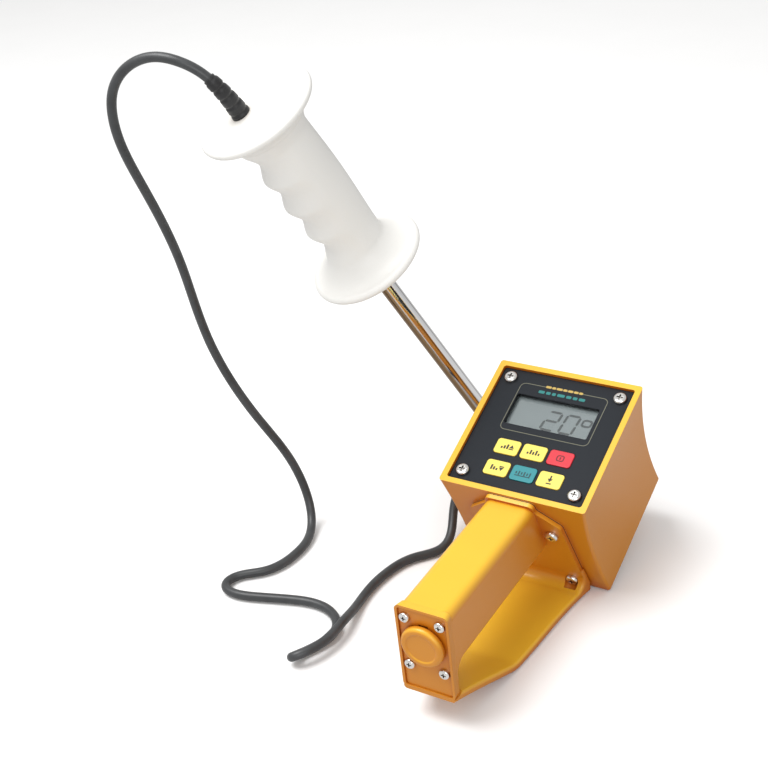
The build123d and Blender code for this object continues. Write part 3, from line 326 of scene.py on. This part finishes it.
def clear_window(name):
    """Thin clear acrylic: glossy, see-through, and it casts hardly any shadow."""
    made = Shader(name)
    smear = made.noise(6, 4, 0.6, (1, 0.4, 1))
    glossy = made.add("ShaderNodeBsdfGlossy")
    glossy.inputs["Color"].default_value = (1, 1, 1, 1)
    made.link(made.ramp(smear, 0.4, 0.75, 0.03, 0.12), glossy.inputs["Roughness"])
    clear = made.add("ShaderNodeBsdfTransparent")
    clear.inputs["Color"].default_value = (0.93, 0.95, 0.95, 1)
    edge = made.add("ShaderNodeFresnel")
    edge.inputs["IOR"].default_value = 1.42
    both = made.add("ShaderNodeMixShader")
    made.link(edge.outputs["Fac"], both.inputs[0])
    made.link(clear.outputs["BSDF"], both.inputs[1])
    made.link(glossy.outputs["BSDF"], both.inputs[2])
    made.link(both.outputs["Shader"], made.output.inputs["Surface"])
    return made.material


def lcd_glass(name):
    """Reflective grey-green liquid crystal cell, a little cloudy."""
    made = Shader(name)
    cloud = made.noise(22, 2)
    fine = made.noise(0.25, 2)
    shade = made.mix(cloud, (0.25, 0.275, 0.285), (0.31, 0.33, 0.335))
    made.set(Base_Color=shade, Roughness=made.ramp(fine, 0.3, 0.7, 0.32, 0.4))
    made.bump(fine, 0.002)
    return made.material


def circuit_board(name):
    """Green solder mask with copper tracks just showing through."""
    made = Shader(name)
    tracks = made.add("ShaderNodeTexBrick")
    made.link(made.place, tracks.inputs["Vector"])
    tracks.inputs["Scale"].default_value = 160
    tracks.inputs["Mortar Size"].default_value = 0.03
    tracks.inputs["Color1"].default_value = (0.012, 0.12, 0.05, 1)
    tracks.inputs["Color2"].default_value = (0.014, 0.15, 0.06, 1)
    tracks.inputs["Mortar"].default_value = (0.03, 0.24, 0.09, 1)
    made.set(Base_Color=tracks.outputs["Color"], Roughness=0.35, Coat_Weight=0.4)
    made.bump(tracks.outputs["Fac"], 0.02)
    return made.material


# In the moulded looks the second colour is painted shade for creases and recesses, and side colours are painted
# shade on faces turned away from up.
YELLOW = moulded("shell_yellow", (0.80, 0.47, 0.03), (0.50, 0.11, 0.002), 0.36, coat=0.1,
                 side_shade_colour=(0.58, 0.21, 0.008))
YELLOW_CAP = moulded("cap_yellow", (0.80, 0.47, 0.03), (0.50, 0.11, 0.002), 0.38, coat=0.1, round_mm=0,
                     side_shade_colour=(0.60, 0.23, 0.010))
BLACK_PANEL = moulded("panel_black", (0.011, 0.014, 0.019), (0.003, 0.003, 0.004), 0.46, 0.3, 0.01, 0.1,
                      scuff=0.08, specular=0.2)
BLACK_PLASTIC = moulded("black_plastic", (0.018, 0.018, 0.02), (0.004, 0.004, 0.004), 0.4)
KEY_YELLOW = moulded("key_yellow", (0.86, 0.70, 0.12), (0.55, 0.35, 0.03), 0.42, 0.4, 0.008, 0.2, tone=0.03)
KEY_RED = moulded("key_red", (0.62, 0.018, 0.035), (0.2, 0.004, 0.008), 0.42, 0.4, 0.008, 0.2, tone=0.03)
KEY_TEAL = moulded("key_teal", (0.012, 0.23, 0.26), (0.003, 0.07, 0.08), 0.42, 0.4, 0.008, 0.2, tone=0.03)
WHITE = moulded("grip_white", (0.84, 0.83, 0.80), (0.50, 0.44, 0.38), 0.42, 0.7, 0.015, 0, scuff=0.05,
                tone=0.02)
NYLON = moulded("natural_nylon", (0.76, 0.72, 0.6), (0.5, 0.42, 0.3), 0.45)
# The chrome's colour carries a painted reflection of a room.
CHROME = metal("rod_chrome", (0.86, 0.85, 0.84), 0.07, 0.3, (1, 1, 0.06), 0.10, painted_reflection=True)
NICKEL = metal("screw_nickel", (0.80, 0.79, 0.77), 0.16)
SPRING_STEEL = metal("spring_steel", (0.62, 0.62, 0.62), 0.22)
BRASS = metal("brass", (0.75, 0.52, 0.2), 0.2)
SEAL = rubber("seal_rubber", (0.012, 0.012, 0.012), 0.7)
BOOT = rubber("boot_rubber", (0.006, 0.006, 0.007), 0.5, 0.1)
JACKET = rubber("cable_jacket", (0.03, 0.032, 0.034), 0.38, 0.1, 0.5, 0.012)
WIRE = moulded("wire_red", (0.5, 0.03, 0.03), (0.2, 0.01, 0.01), 0.4)
CELL = moulded("cell_jacket", (0.05, 0.07, 0.10), (0.01, 0.01, 0.02), 0.3, coat=0.4)
BLUE = moulded("capacitor_blue", (0.03, 0.07, 0.26), (0.01, 0.02, 0.08), 0.3, coat=0.3)
WINDOW = clear_window("window_clear")
LCD = lcd_glass("lcd_grey")
BOARD = circuit_board("board_green")
DARK_INK = ink("ink_dark", (0.035, 0.03, 0.02))
DARK_RED_INK = ink("ink_dark_red", (0.12, 0.004, 0.008))
DARK_TEAL_INK = ink("ink_dark_teal", (0.004, 0.05, 0.06))
OLIVE_INK = ink("ink_olive", (0.16, 0.16, 0.11))
GOLD_INK = ink("ink_gold", (0.55, 0.38, 0.09))
TEAL_INK = ink("ink_teal", (0.01, 0.21, 0.20))
SEGMENT_INK = ink("lcd_segments", (0.055, 0.06, 0.065), 0.35)

CAD_LOOKS = {
    YELLOW: ("head_housing", "handle_frame", "end_plate"),
    BLACK_PANEL: ("front_panel",),
    BLACK_PLASTIC: ("lcd_holder", "key_switches", "processor_chip", "cable_gland", "gland_locknut",
                    "temperature_sensor"),
    SEAL: ("panel_gasket", "flange_gasket", "end_gasket", "cap_seal", "contact_strips"),
    NICKEL: ("flange_screws", "flange_nuts", "end_plate_screws", "panel_screws", "board_screws"),
    SPRING_STEEL: ("cap_spring", "inner_contact", "rod_clip"),
    BRASS: ("board_standoffs", "core_conductor"),
    NYLON: ("lead_plugs", "battery_tube", "insulator_sleeve"),
    WIRE: ("battery_leads", "probe_leads", "grip_leads"),
    CELL: ("battery_cells",),
    BLUE: ("board_capacitors",),
    WINDOW: ("lcd_window",),
    LCD: ("lcd_module",),
    BOARD: ("main_board",),
    KEY_YELLOW: ("key_top_left", "key_top_middle", "key_bottom_left", "key_bottom_right"),
    KEY_RED: ("key_top_right",),
    KEY_TEAL: ("key_bottom_middle",),
}
for look, names in CAD_LOOKS.items():
    for name in names:
        nodes[name].data.materials.clear()
        nodes[name].data.materials.append(look)


# ================= mesh helpers =================
def piece(name, shape, place, look, body, slot_name, *stands_for):
    """Turns a bmesh in local millimetres into a named, placed and finished piece."""
    bmesh.ops.recalc_face_normals(shape, faces=shape.faces)
    mesh = bpy.data.meshes.new(name)
    shape.to_mesh(mesh)
    shape.free()
    mesh.transform(place)
    for polygon in mesh.polygons:
        polygon.use_smooth = True
    made = bpy.data.objects.new(name, mesh)
    bpy.context.scene.collection.objects.link(made)
    mesh.materials.append(look)
    mesh.set_sharp_from_angle(angle=radians(38))
    if body:
        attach(made, body)
    if stands_for:
        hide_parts(*stands_for)
    return made


def arc(x, z, radius, start, stop, steps=8):
    """Points on an arc, angles in degrees."""
    angles = [radians(start + (stop - start) * i / steps) for i in range(steps + 1)]
    return [(x + radius * cos(a), z + radius * sin(a)) for a in angles]


def ease(start, start_dir, stop, stop_dir, steps=14):
    """Points on a smooth curve between two points with given end directions."""
    made = []
    for i in range(steps + 1):
        t = i / steps
        weights = (2 * t**3 - 3 * t**2 + 1, t**3 - 2 * t**2 + t, 3 * t**2 - 2 * t**3, t**3 - t**2)
        made.append(tuple(
            weights[0] * start[k] + weights[1] * start_dir[k] + weights[2] * stop[k] + weights[3] * stop_dir[k]
            for k in (0, 1)
        ))
    return made


def lathe(profile, segments=96, radius_at=None, closed=True):
    """Turns a profile of (radius, height) points round z. Points on the axis become one vertex."""
    shape = bmesh.new()
    rings = []
    for radius, height in profile:
        if radius < 1e-6:
            rings.append([shape.verts.new((0, 0, height))])
            continue
        ring = []
        for i in range(segments):
            angle = 2 * pi * i / segments
            out = radius_at(radius, height, angle) if radius_at else radius
            ring.append(shape.verts.new((out * cos(angle), out * sin(angle), height)))
        rings.append(ring)
    pairs = list(zip(rings, rings[1:]))
    if closed and len(rings[0]) > 1 and len(rings[-1]) > 1:
        pairs.append((rings[-1], rings[0]))
    for low, high in pairs:
        for i in range(segments):
            j = (i + 1) % segments
            corners = [low[i % len(low)], low[j % len(low)], high[j % len(high)], high[i % len(high)]]
            shape.faces.new(list(dict.fromkeys(corners)))
    return shape


def tube(centres, radii, segments=20, twist_free=True):
    """A round tube with closed ends along a list of points, with one radius per point."""
    shape = bmesh.new()
    count = len(centres)
    side = None
    rings = []
    for i, centre in enumerate(centres):
        ahead = (centres[min(i + 1, count - 1)] - centres[max(i - 1, 0)]).normalized()
        side = ahead.orthogonal().normalized() if side is None else (side - ahead * side.dot(ahead)).normalized()
        other = ahead.cross(side)
        rings.append([
            shape.verts.new(centre + (side * cos(2 * pi * k / segments) + other * sin(2 * pi * k / segments))
                            * radii[i])
            for k in range(segments)
        ])
    for low, high in zip(rings, rings[1:]):
        for i in range(segments):
            j = (i + 1) % segments
            shape.faces.new((low[i], low[j], high[j], high[i]))
    shape.faces.new(list(reversed(rings[0])))
    shape.faces.new(rings[-1])
    return shape


def slab(shape, outline, low, high):
    """Adds a prism over a flat outline, from low to high."""
    bottom = [shape.verts.new((x, y, low)) for x, y in outline]
    top = [shape.verts.new((x, y, high)) for x, y in outline]
    count = len(outline)
    shape.faces.new(list(reversed(bottom)))
    shape.faces.new(top)
    for i in range(count):
        j = (i + 1) % count
        shape.faces.new((bottom[i], bottom[j], top[j], top[i]))


def round_box(x, y, width, height, radius, steps=5):
    """Outline of a rounded rectangle round (x, y)."""
    made = []
    corners = ((1, 1, 0), (-1, 1, 90), (-1, -1, 180), (1, -1, 270))
    for sx, sy, start in corners:
        cx, cy = x + sx * (width / 2 - radius), y + sy * (height / 2 - radius)
        made += arc(cx, cy, radius, start, start + 90, steps)
    return made


def frame_ring(shape, outer, inner, low, high):
    """Adds a flat ring between two outlines with the same number of points."""
    loops = [[shape.verts.new((x, y, z)) for x, y in line]
             for line, z in ((outer, low), (inner, low), (inner, high), (outer, high))]
    count = len(outer)
    for near, far in zip(loops, loops[1:] + loops[:1]):
        for i in range(count):
            j = (i + 1) % count
            shape.faces.new((near[i], near[j], far[j], far[i]))


# ================= lead =================
def centre_line(node, step):
    """Centres of slices along a long round CAD solid, by distance over its surface from one end."""
    shape = bmesh.new()
    shape.from_mesh(nodes[node].data)
    bmesh.ops.remove_doubles(shape, verts=shape.verts, dist=1e-6)
    for _ in range(6):
        long_edges = [edge for edge in shape.edges if edge.calc_length() > 1.6 * MM]
        if not long_edges:
            break
        bmesh.ops.subdivide_edges(shape, edges=long_edges, cuts=1)
        bmesh.ops.triangulate(shape, faces=[face for face in shape.faces if len(face.verts) > 3])
    shape.verts.ensure_lookup_table()
    start = max(shape.verts, key=lambda vertex: vertex.co.x).index
    reach = {start: 0.0}
    queue = [(0.0, start)]
    while queue:
        far, index = heapq.heappop(queue)
        if far > reach[index]:
            continue
        for edge in shape.verts[index].link_edges:
            other = edge.other_vert(shape.verts[index])
            total = far + edge.calc_length()
            if total < reach.get(other.index, 1e9):
                reach[other.index] = total
                heapq.heappush(queue, (total, other.index))
    slices = {}
    for face in shape.faces:
        far = sum(reach[vertex.index] for vertex in face.verts) / len(face.verts)
        area = face.calc_area()
        total, weight = slices.get(int(far / step), (Vector(), 0.0))
        slices[int(far / step)] = (total + face.calc_center_median() * area, weight + area)
    shape.free()
    line = [slices[k][0] / slices[k][1] / MM for k in sorted(slices)]
    for _ in range(2):
        line[1:-1] = [(a + b * 2 + c) / 4 for a, b, c in zip(line, line[1:], line[2:])]
    return line


def resample(line, step):
    """Evenly spaced points on the smooth curve through a line of points."""
    smooth = []
    for i in range(len(line) - 1):
        before, here = line[max(i - 1, 0)], line[i]
        ahead, after = line[i + 1], line[min(i + 2, len(line) - 1)]
        for k in range(8):
            t = k / 8
            smooth.append(0.5 * (
                2 * here + (ahead - before) * t + (2 * before - 5 * here + 4 * ahead - after) * t**2
                + (3 * here - before - 3 * ahead + after) * t**3
            ))
    smooth.append(line[-1])
    made, left = [smooth[0]], step
    for a, b in zip(smooth, smooth[1:]):
        length = (b - a).length
        while length >= left > 0:
            a = a + (b - a) * (left / length)
            length = (b - a).length
            made.append(a.copy())
            left = step
        left -= length
    return made


LEAD_R = 2.6
lead_line = resample(centre_line("cable", 0.004), 1.5)
lead = piece("lead", tube(lead_line, [LEAD_R] * len(lead_line), 24), Matrix.Scale(MM, 4), JACKET, None,
             "cable_jacket", "cable")
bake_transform(lead)

# ================= probe =================
GRIP_LOW, GRIP_TOP = probe_z("grip")
CAP_LOW, CAP_TOP = probe_z("grip_cap")
ROD_LOW, ROD_TOP = probe_z("probe_rod")
RING_LOW, RING_TOP = probe_z("insulator_ring")
FLANGE_R = (span("grip_cap", ACROSS)[1] - span("grip_cap", ACROSS)[0]) / 2
FLANGE_T = 5.0
RIM_R = FLANGE_T / 2
ROD_R = 5.0
BOSS_R, BOSS_L = 8.0, 3.2
LOW_FLANGE_Z = GRIP_LOW + BOSS_L + RIM_R
DOME = 4.6
TOP_FLANGE_Z = CAP_TOP - DOME
WRIST_R, PALM_R = 17.4, 19.2
TRUMPET_L = 19.0
FINGERS, FINGER_PITCH, FINGER_DEPTH = 4, 20.5, 3.6
FIRST_RIDGE_Z = LOW_FLANGE_Z + 13.7
BORE_R, SPIGOT_R, SPIGOT_L = 8.5, 12.0, 6.0


def finger_radius(radius, height, angle):
    """Scallops the finger side of the grip: rounded ridges between four hollows."""
    along = (height - FIRST_RIDGE_Z) / FINGER_PITCH
    if radius < SPIGOT_R + 1 or not 0 < along < FINGERS:
        return radius
    hollow = (0.5 - 0.5 * cos(2 * pi * along)) ** 0.75
    return radius - FINGER_DEPTH * hollow * max(0, cos(angle)) ** 1.3


def flange_rim(height, start, stop):
    return arc(FLANGE_R - RIM_R, height, RIM_R, start, stop, 10)


def grip_profile():
    low, high = LOW_FLANGE_Z, TOP_FLANGE_Z
    neck = ease((PALM_R - 0.6, high - TRUMPET_L), (0, 14), (FLANGE_R - RIM_R, high - RIM_R), (14, 0), 24)
    neck = [point for point in neck if point[1] < GRIP_TOP - 0.4]
    seam_r = neck[-1][0] + 0.12
    line = [(ROD_R + 0.05, GRIP_LOW), (BOSS_R - 1.2, GRIP_LOW)]
    line += arc(BOSS_R - 1.2, GRIP_LOW + 1.2, 1.2, -90, 0, 5)
    line += arc(BOSS_R + 0.8, low - RIM_R - 0.8, 0.8, 180, 90, 4)
    line += flange_rim(low, -90, 90)
    line += ease((FLANGE_R - RIM_R, low + RIM_R), (-16, 0), (WRIST_R, low + TRUMPET_L - 4), (0, 15), 22)[1:]
    body = ease((WRIST_R, low + TRUMPET_L - 4), (0, 60), (PALM_R - 0.6, high - TRUMPET_L), (0, 40), 100)
    line += [(r + 1.0 * sin(pi * i / 100) ** 2, z) for i, (r, z) in enumerate(body)][1:]
    line += neck[1:]
    line += [(seam_r, GRIP_TOP - 0.25), (seam_r - 0.3, GRIP_TOP), (SPIGOT_R, GRIP_TOP)]
    line += [(SPIGOT_R, GRIP_TOP - SPIGOT_L), (BORE_R, GRIP_TOP - SPIGOT_L)]
    line += [(BORE_R, ROD_TOP - 4), (ROD_R + 0.05, ROD_TOP - 4)]
    return line


def cap_profile():
    high = TOP_FLANGE_Z
    neck = ease((PALM_R - 0.6, high - TRUMPET_L), (0, 14), (FLANGE_R - RIM_R, high - RIM_R), (14, 0), 24)
    neck = [point for point in neck if point[1] > CAP_LOW + SPIGOT_L + 0.5]
    low = CAP_LOW + SPIGOT_L
    sphere_r = ((FLANGE_R - RIM_R) ** 2 + (DOME - RIM_R) ** 2) / (2 * (DOME - RIM_R))
    dome = [
        ((FLANGE_R - RIM_R) * (1 - i / 20), high + DOME - sphere_r
         + sqrt(sphere_r**2 - ((FLANGE_R - RIM_R) * (1 - i / 20)) ** 2))
        for i in range(1, 21)
    ]
    line = [(0, CAP_LOW), (SPIGOT_R - 0.05, CAP_LOW), (SPIGOT_R - 0.05, low + 0.1)]
    line += [(neck[0][0] - 0.5, low + 0.1), (neck[0][0] - 0.1, low + 0.35)]
    line += neck
    line += flange_rim(high, -90, 90)[1:]
    line += dome[:-1]
    line += [(0, high + DOME)]
    return line


piece("probe_grip", lathe(grip_profile(), 128, finger_radius), PROBE, WHITE, "probe", "white_plastic", "grip")
piece("probe_grip_cap", lathe(cap_profile(), 128), PROBE, WHITE, "probe", "white_plastic", "grip_cap")

piece("rod", lathe(
    [(ROD_R - 1.1, ROD_LOW), (ROD_R - 0.15, ROD_LOW)] + arc(ROD_R - 0.15, ROD_LOW + 0.15, 0.15, -90, 0, 3)
    + [(ROD_R, ROD_LOW + (ROD_TOP - ROD_LOW) * i / 12) for i in range(1, 13)] + [(ROD_R - 1.1, ROD_TOP)], 64,
), PROBE, CHROME, "probe", "polished_steel", "probe_rod")
TIP_TOP = probe_z("probe_tip")[1]
TIP_CONE_L = RING_LOW
piece("tip", lathe(
    [(0, 0), (0.35, 0.25)]
    + [(0.35 + (ROD_R - 0.5) * t, 0.25 + (TIP_CONE_L - 1.2) * t**0.93) for t in [i / 10 for i in range(1, 11)]]
    + arc(ROD_R - 0.4, TIP_CONE_L - 0.4, 0.4, 0, 90, 4)
    + [(2.5, TIP_CONE_L), (2.5, TIP_TOP), (0, TIP_TOP)], 64,
), PROBE, CHROME, "probe", "polished_steel", "probe_tip")
piece("tip_insulator", lathe(
    [(2.6, RING_LOW), (ROD_R - 0.2, RING_LOW)] + arc(ROD_R - 0.2, RING_LOW + 0.2, 0.2, -90, 0, 3)
    + arc(ROD_R - 0.2, RING_TOP - 0.2, 0.2, 0, 90, 3) + [(2.6, RING_TOP)], 64,
), PROBE, NYLON, "probe", "natural_nylon", "insulator_ring")

# Ribbed boot, threaded on the lead where it enters the grip.
probe_inverse = PROBE.inverted()
BOOT_L, BOOT_R, BOOT_END_R, BOOT_RIBS = 25.0, 5.3, 3.7, 5
BOOT_ROOT_Z = TOP_FLANGE_Z + DOME - 2.5


def boot_shape():
    """Rings along the lead, from inside the cap outwards, with a groove after each rib."""
    in_probe = [probe_inverse @ (point * MM) for point in lead_line]
    inside = [i for i, point in enumerate(in_probe) if point.z > BOOT_ROOT_Z and hypot(point.x, point.y) < 30]
    run = list(reversed(lead_line[inside[0]:]))
    run = [point for point in run if (probe_inverse @ (point * MM)).z > BOOT_ROOT_Z]
    run = resample(run, 0.5)[: int(BOOT_L / 0.5) + 6]
    radii = []
    for i in range(len(run)):
        along = i / (len(run) - 1)
        rib = (along * BOOT_RIBS) % 1
        groove = 0.55 if rib > 0.6 else 0.0
        radii.append(BOOT_R + (BOOT_END_R - BOOT_R) * along - groove * sin(pi * min(1, (rib - 0.6) / 0.4)))
    radii[-1] -= 0.5
    return tube(run, radii, 40)


piece("boot", boot_shape(), Matrix.Scale(MM, 4), BOOT, "probe", "seal_rubber", "strain_relief")

# ================= battery cap =================
CAP_R = (span("battery_cap", RIGHT)[1] - span("battery_cap", RIGHT)[0]) / 2
CAP_T = span("battery_cap", END_OUT)[1] - span("end_plate", END_OUT)[1]
CAP_BACK = span("battery_cap", END_OUT)[0] - span("end_plate", END_OUT)[1]
CAP_FOOT = span("cap_seal", END_OUT)[1] - span("end_plate", END_OUT)[1]
SPIGOT = 9.5
piece("cap", lathe(
    [(0, CAP_BACK), (SPIGOT - 0.4, CAP_BACK), (SPIGOT, CAP_BACK + 0.4), (SPIGOT, CAP_FOOT)]
    + [(CAP_R - 0.25, CAP_FOOT)] + arc(CAP_R - 0.25, CAP_FOOT + 0.25, 0.25, -90, 0, 3)
    + arc(CAP_R - 2.0, CAP_T - 2.0, 2.0, 0, 90, 10)
    + ease((CAP_R - 2.9, CAP_T), (-1.6, 0), (7.6, CAP_T - 0.55), (-1.6, 0), 10)
    + [(4.0, CAP_T - 0.55), (0, CAP_T - 0.55)], 96,
), CAP, YELLOW_CAP, "battery_cap", "yellow_shell", "battery_cap")

# ================= display, print and keys =================
LCD_Y = (middle("lcd_window", FACE_UP) - middle("front_panel", FACE_UP))
LCD_Z = span("lcd_module", FACE_OUT)[1] - span("front_panel", FACE_OUT)[1]
DIGIT_W, DIGIT_H, STROKE, SLANT = 7.4, 12.6, 1.45, 0.12
SEGMENTS = {"2": "abged", "0": "abcdef"}


def segment(shape, name, x, y):
    """One bar of a seven-bar digit whose lower left corner is at (x, y)."""
    half, gap = DIGIT_H / 2, 0.25
    bars = {
        "a": ((gap, DIGIT_H), (DIGIT_W - gap, DIGIT_H)), "g": ((gap, half), (DIGIT_W - gap, half)),
        "d": ((gap, 0), (DIGIT_W - gap, 0)), "f": ((0, half + gap), (0, DIGIT_H - gap)),
        "b": ((DIGIT_W, half + gap), (DIGIT_W, DIGIT_H - gap)), "e": ((0, gap), (0, half - gap)),
        "c": ((DIGIT_W, gap), (DIGIT_W, half - gap)),
    }
    (x0, y0), (x1, y1) = bars[name]
    along = Vector((x1 - x0, y1 - y0)).normalized() * (STROKE / 2)
    out = Vector((-along.y, along.x))
    ends = (Vector((x0, y0)), Vector((x1, y1)))
    outline = [ends[0], ends[0] + along - out, ends[1] - along - out, ends[1],
               ends[1] - along + out, ends[0] + along + out]
    slab(shape, [(x + p.x + p.y * SLANT, y + p.y) for p in outline], LCD_Z, LCD_Z + 0.04)


def digits():
    shape = bmesh.new()
    base_y = LCD_Y - 7.6
    for digit, x in (("2", -4.6), ("0", 6.2)):
        for name in SEGMENTS[digit]:
            segment(shape, name, x, base_y)
    ring = [(19.7 + p[0] + p[1] * SLANT, base_y + 9.4 + p[1]) for p in round_box(0, 0, 6.2, 5.4, 2.0)]
    hole = [(19.7 + p[0] + p[1] * SLANT, base_y + 9.4 + p[1]) for p in round_box(0, 0, 3.6, 2.8, 0.9)]
    frame_ring(shape, ring, hole, LCD_Z, LCD_Z + 0.04)
    return shape


piece("lcd_digits", digits(), FACE, SEGMENT_INK, "meter", "lcd_grey")

INK_T = 0.03


def printed_frame():
    shape = bmesh.new()
    outer = round_box(0.8, 15.2, 52.4, 33.4, 3.2)
    inner = round_box(0.8, 15.2, 51.6, 32.6, 2.8)
    frame_ring(shape, outer, inner, 0, INK_T)
    return shape


piece("print_frame", printed_frame(), FACE, OLIVE_INK, "meter", "black_panel")


def dashes(y, height, widths, start_x, gap):
    """A row of plain bars where the real panel has a printed line."""
    shape = bmesh.new()
    x = start_x
    for width in widths:
        slab(shape, round_box(x + width / 2, y, width, height, height * 0.3, 2), 0, INK_T * 2)
        x += width + gap
    return shape


piece("print_title", dashes(31.9, 1.5, (3.2, 2.2, 3.4, 2.4, 3.0, 2.6, 2.2), -10.6, 0.5), FACE, GOLD_INK,
      "meter", "black_panel")
piece("print_line", dashes(27.8, 1.9, (3.6, 2.6, 2.2, 4.4, 3.0, 2.6, 3.6), -13.5, 0.95), FACE, TEAL_INK,
      "meter", "black_panel")


def key_face(node):
    """Centre of a key's face, and its height above the panel."""
    return (
        middle(node, RIGHT) - middle("front_panel", RIGHT),
        middle(node, FACE_UP) - middle("front_panel", FACE_UP),
        span(node, FACE_OUT)[1] - span("front_panel", FACE_OUT)[1],
    )


def bar(shape, x, y, width, height, top, radius=0.25):
    slab(shape, round_box(x, y, width, height, radius, 3), top - 0.02, top + INK_T)


def wedge(shape, x, y, width, height, top):
    """A triangle that points up, or down where height is negative."""
    points = [(x - width / 2, y - height / 2), (x + width / 2, y - height / 2), (x, y + height / 2)]
    slab(shape, points, top - 0.02, top + INK_T)


def high_icon(shape, x, y, top):
    for i, tall in enumerate((1.4, 2.2, 3.2)):
        bar(shape, x - 3.0 + i * 1.6, y - 1.6 + tall / 2, 1.1, tall, top)
    wedge(shape, x + 2.6, y + 0.5, 2.8, 2.2, top)
    bar(shape, x + 2.6, y - 1.3, 2.8, 0.7, top)


def mean_icon(shape, x, y, top):
    for i, tall in enumerate((1.4, 3.0, 2.0, 3.2, 1.6)):
        bar(shape, x - 3.2 + i * 1.6, y - 1.6 + tall / 2, 1.0, tall, top)


def low_icon(shape, x, y, top):
    for i, tall in enumerate((3.2, 2.2, 1.4)):
        bar(shape, x - 3.0 + i * 1.6, y - 1.6 + tall / 2, 1.1, tall, top)
    wedge(shape, x + 2.6, y - 0.5, 2.8, -2.2, top)
    bar(shape, x + 2.6, y + 1.2, 2.8, 0.7, top)


def power_icon(shape, x, y, top):
    frame_ring(shape, round_box(x, y, 4.4, 4.0, 1.3), round_box(x, y, 3.2, 2.8, 0.8), top - 0.02, top + INK_T)
    bar(shape, x, y, 0.7, 1.8, top)


def scale_icon(shape, x, y, top):
    for i in range(6):
        bar(shape, x - 4.0 + i * 1.6, y, 0.8, 2.6 if i % 2 else 1.6, top)
    bar(shape, x, y - 1.7, 9.0, 0.6, top)


def lamp_icon(shape, x, y, top):
    bar(shape, x, y + 1.6, 0.9, 2.4, top)
    wedge(shape, x, y - 0.4, 3.0, -2.2, top)
    bar(shape, x, y - 2.4, 3.0, 0.8, top)


KEY_MARKS = {
    "key_top_left": (high_icon, DARK_INK, "key_yellow"),
    "key_top_middle": (mean_icon, DARK_INK, "key_yellow"),
    "key_top_right": (power_icon, DARK_RED_INK, "key_red"),
    "key_bottom_left": (low_icon, DARK_INK, "key_yellow"),
    "key_bottom_middle": (scale_icon, DARK_TEAL_INK, "key_teal"),
    "key_bottom_right": (lamp_icon, DARK_INK, "key_yellow"),
}
for key, (draw, look, slot_name) in KEY_MARKS.items():
    mark = bmesh.new()
    draw(mark, *key_face(key))
    piece(key + "_mark", mark, FACE, look, key, slot_name)


# ================= stage, light and camera =================
def floor_look():
    """Near-white to the camera, and a little darker in the light that it throws back."""
    made = Shader("floor_pale")
    seen = made.add("ShaderNodeLightPath").outputs["Is Camera Ray"]
    paper = made.mix(made.noise(60, 2), (0.92, 0.92, 0.92), (0.94, 0.94, 0.94))
    made.set(Base_Color=made.mix(seen, (0.55, 0.55, 0.55), paper), Roughness=0.8, Specular_IOR_Level=0.1)
    return made.material


def card(name, look, place, size, hidden=False):
    """A flat square of the set, facing along its local z."""
    mesh = bpy.data.meshes.new(name)
    half = size / 2
    mesh.from_pydata([(-half, -half, 0), (half, -half, 0), (half, half, 0), (-half, half, 0)], [], [(0, 1, 2, 3)])
    made = bpy.data.objects.new(name, mesh)
    bpy.context.scene.collection.objects.link(made)
    made.matrix_world = place
    mesh.materials.append(look)
    if hidden:
        made.visible_camera = False
        made.visible_diffuse = False
        made.visible_shadow = False
    return made


card("floor", floor_look(), Matrix.Translation((0, 0, cad_box[0].z - 0.0002)), 12.0)


def aim(obj, position, target):
    obj.location = position
    obj.rotation_mode = "QUATERNION"
    obj.rotation_quaternion = (Vector(target) - Vector(position)).to_track_quat("-Z", "Y")


def soft_light(name, position, target, size, watts, colour=(1, 1, 1)):
    data = bpy.data.lights.new(name, "AREA")
    data.shape = "RECTANGLE"
    data.size, data.size_y = size
    data.energy = watts
    data.color = colour
    made = bpy.data.objects.new(name, data)
    bpy.context.scene.collection.objects.link(made)
    aim(made, position, target)
    return made


CENTRE = (cad_box[0] + cad_box[1]) / 2
soft_light("key_light", CENTRE + Vector((-0.45, -0.35, 1.3)), CENTRE, (0.9, 0.9), 21)
soft_light("fill_light", CENTRE + Vector((0.9, -1.1, 0.6)), CENTRE, (0.8, 0.8), 6)

world = bpy.data.worlds.new("studio")
bpy.context.scene.world = world
world.use_nodes = True
world.node_tree.nodes["Background"].inputs["Color"].default_value = (1.0, 0.995, 0.985, 1)
world.node_tree.nodes["Background"].inputs["Strength"].default_value = 0.66

CAMERA_AT = Vector((0.3036, -0.5571, 0.5231))
CAMERA_AHEAD = Vector((-0.48082, 0.71457, -0.50814))
CAMERA_UP = Vector((-0.18101, 0.48615, 0.85492))
SENSOR_MM, LENS_MM = 36.0, 68.95
camera_data = bpy.data.cameras.new("camera")
camera_data.sensor_width = SENSOR_MM
camera_data.lens = LENS_MM
camera = bpy.data.objects.new("camera", camera_data)
bpy.context.scene.collection.objects.link(camera)
back = -CAMERA_AHEAD.normalized()
side = CAMERA_UP.cross(back).normalized()
turned = Matrix((side, back.cross(side), back)).transposed().to_4x4()
camera.matrix_world = Matrix.Translation(CAMERA_AT) @ turned
bpy.context.scene.camera = camera
bpy.context.scene.view_settings.view_transform = "Standard"
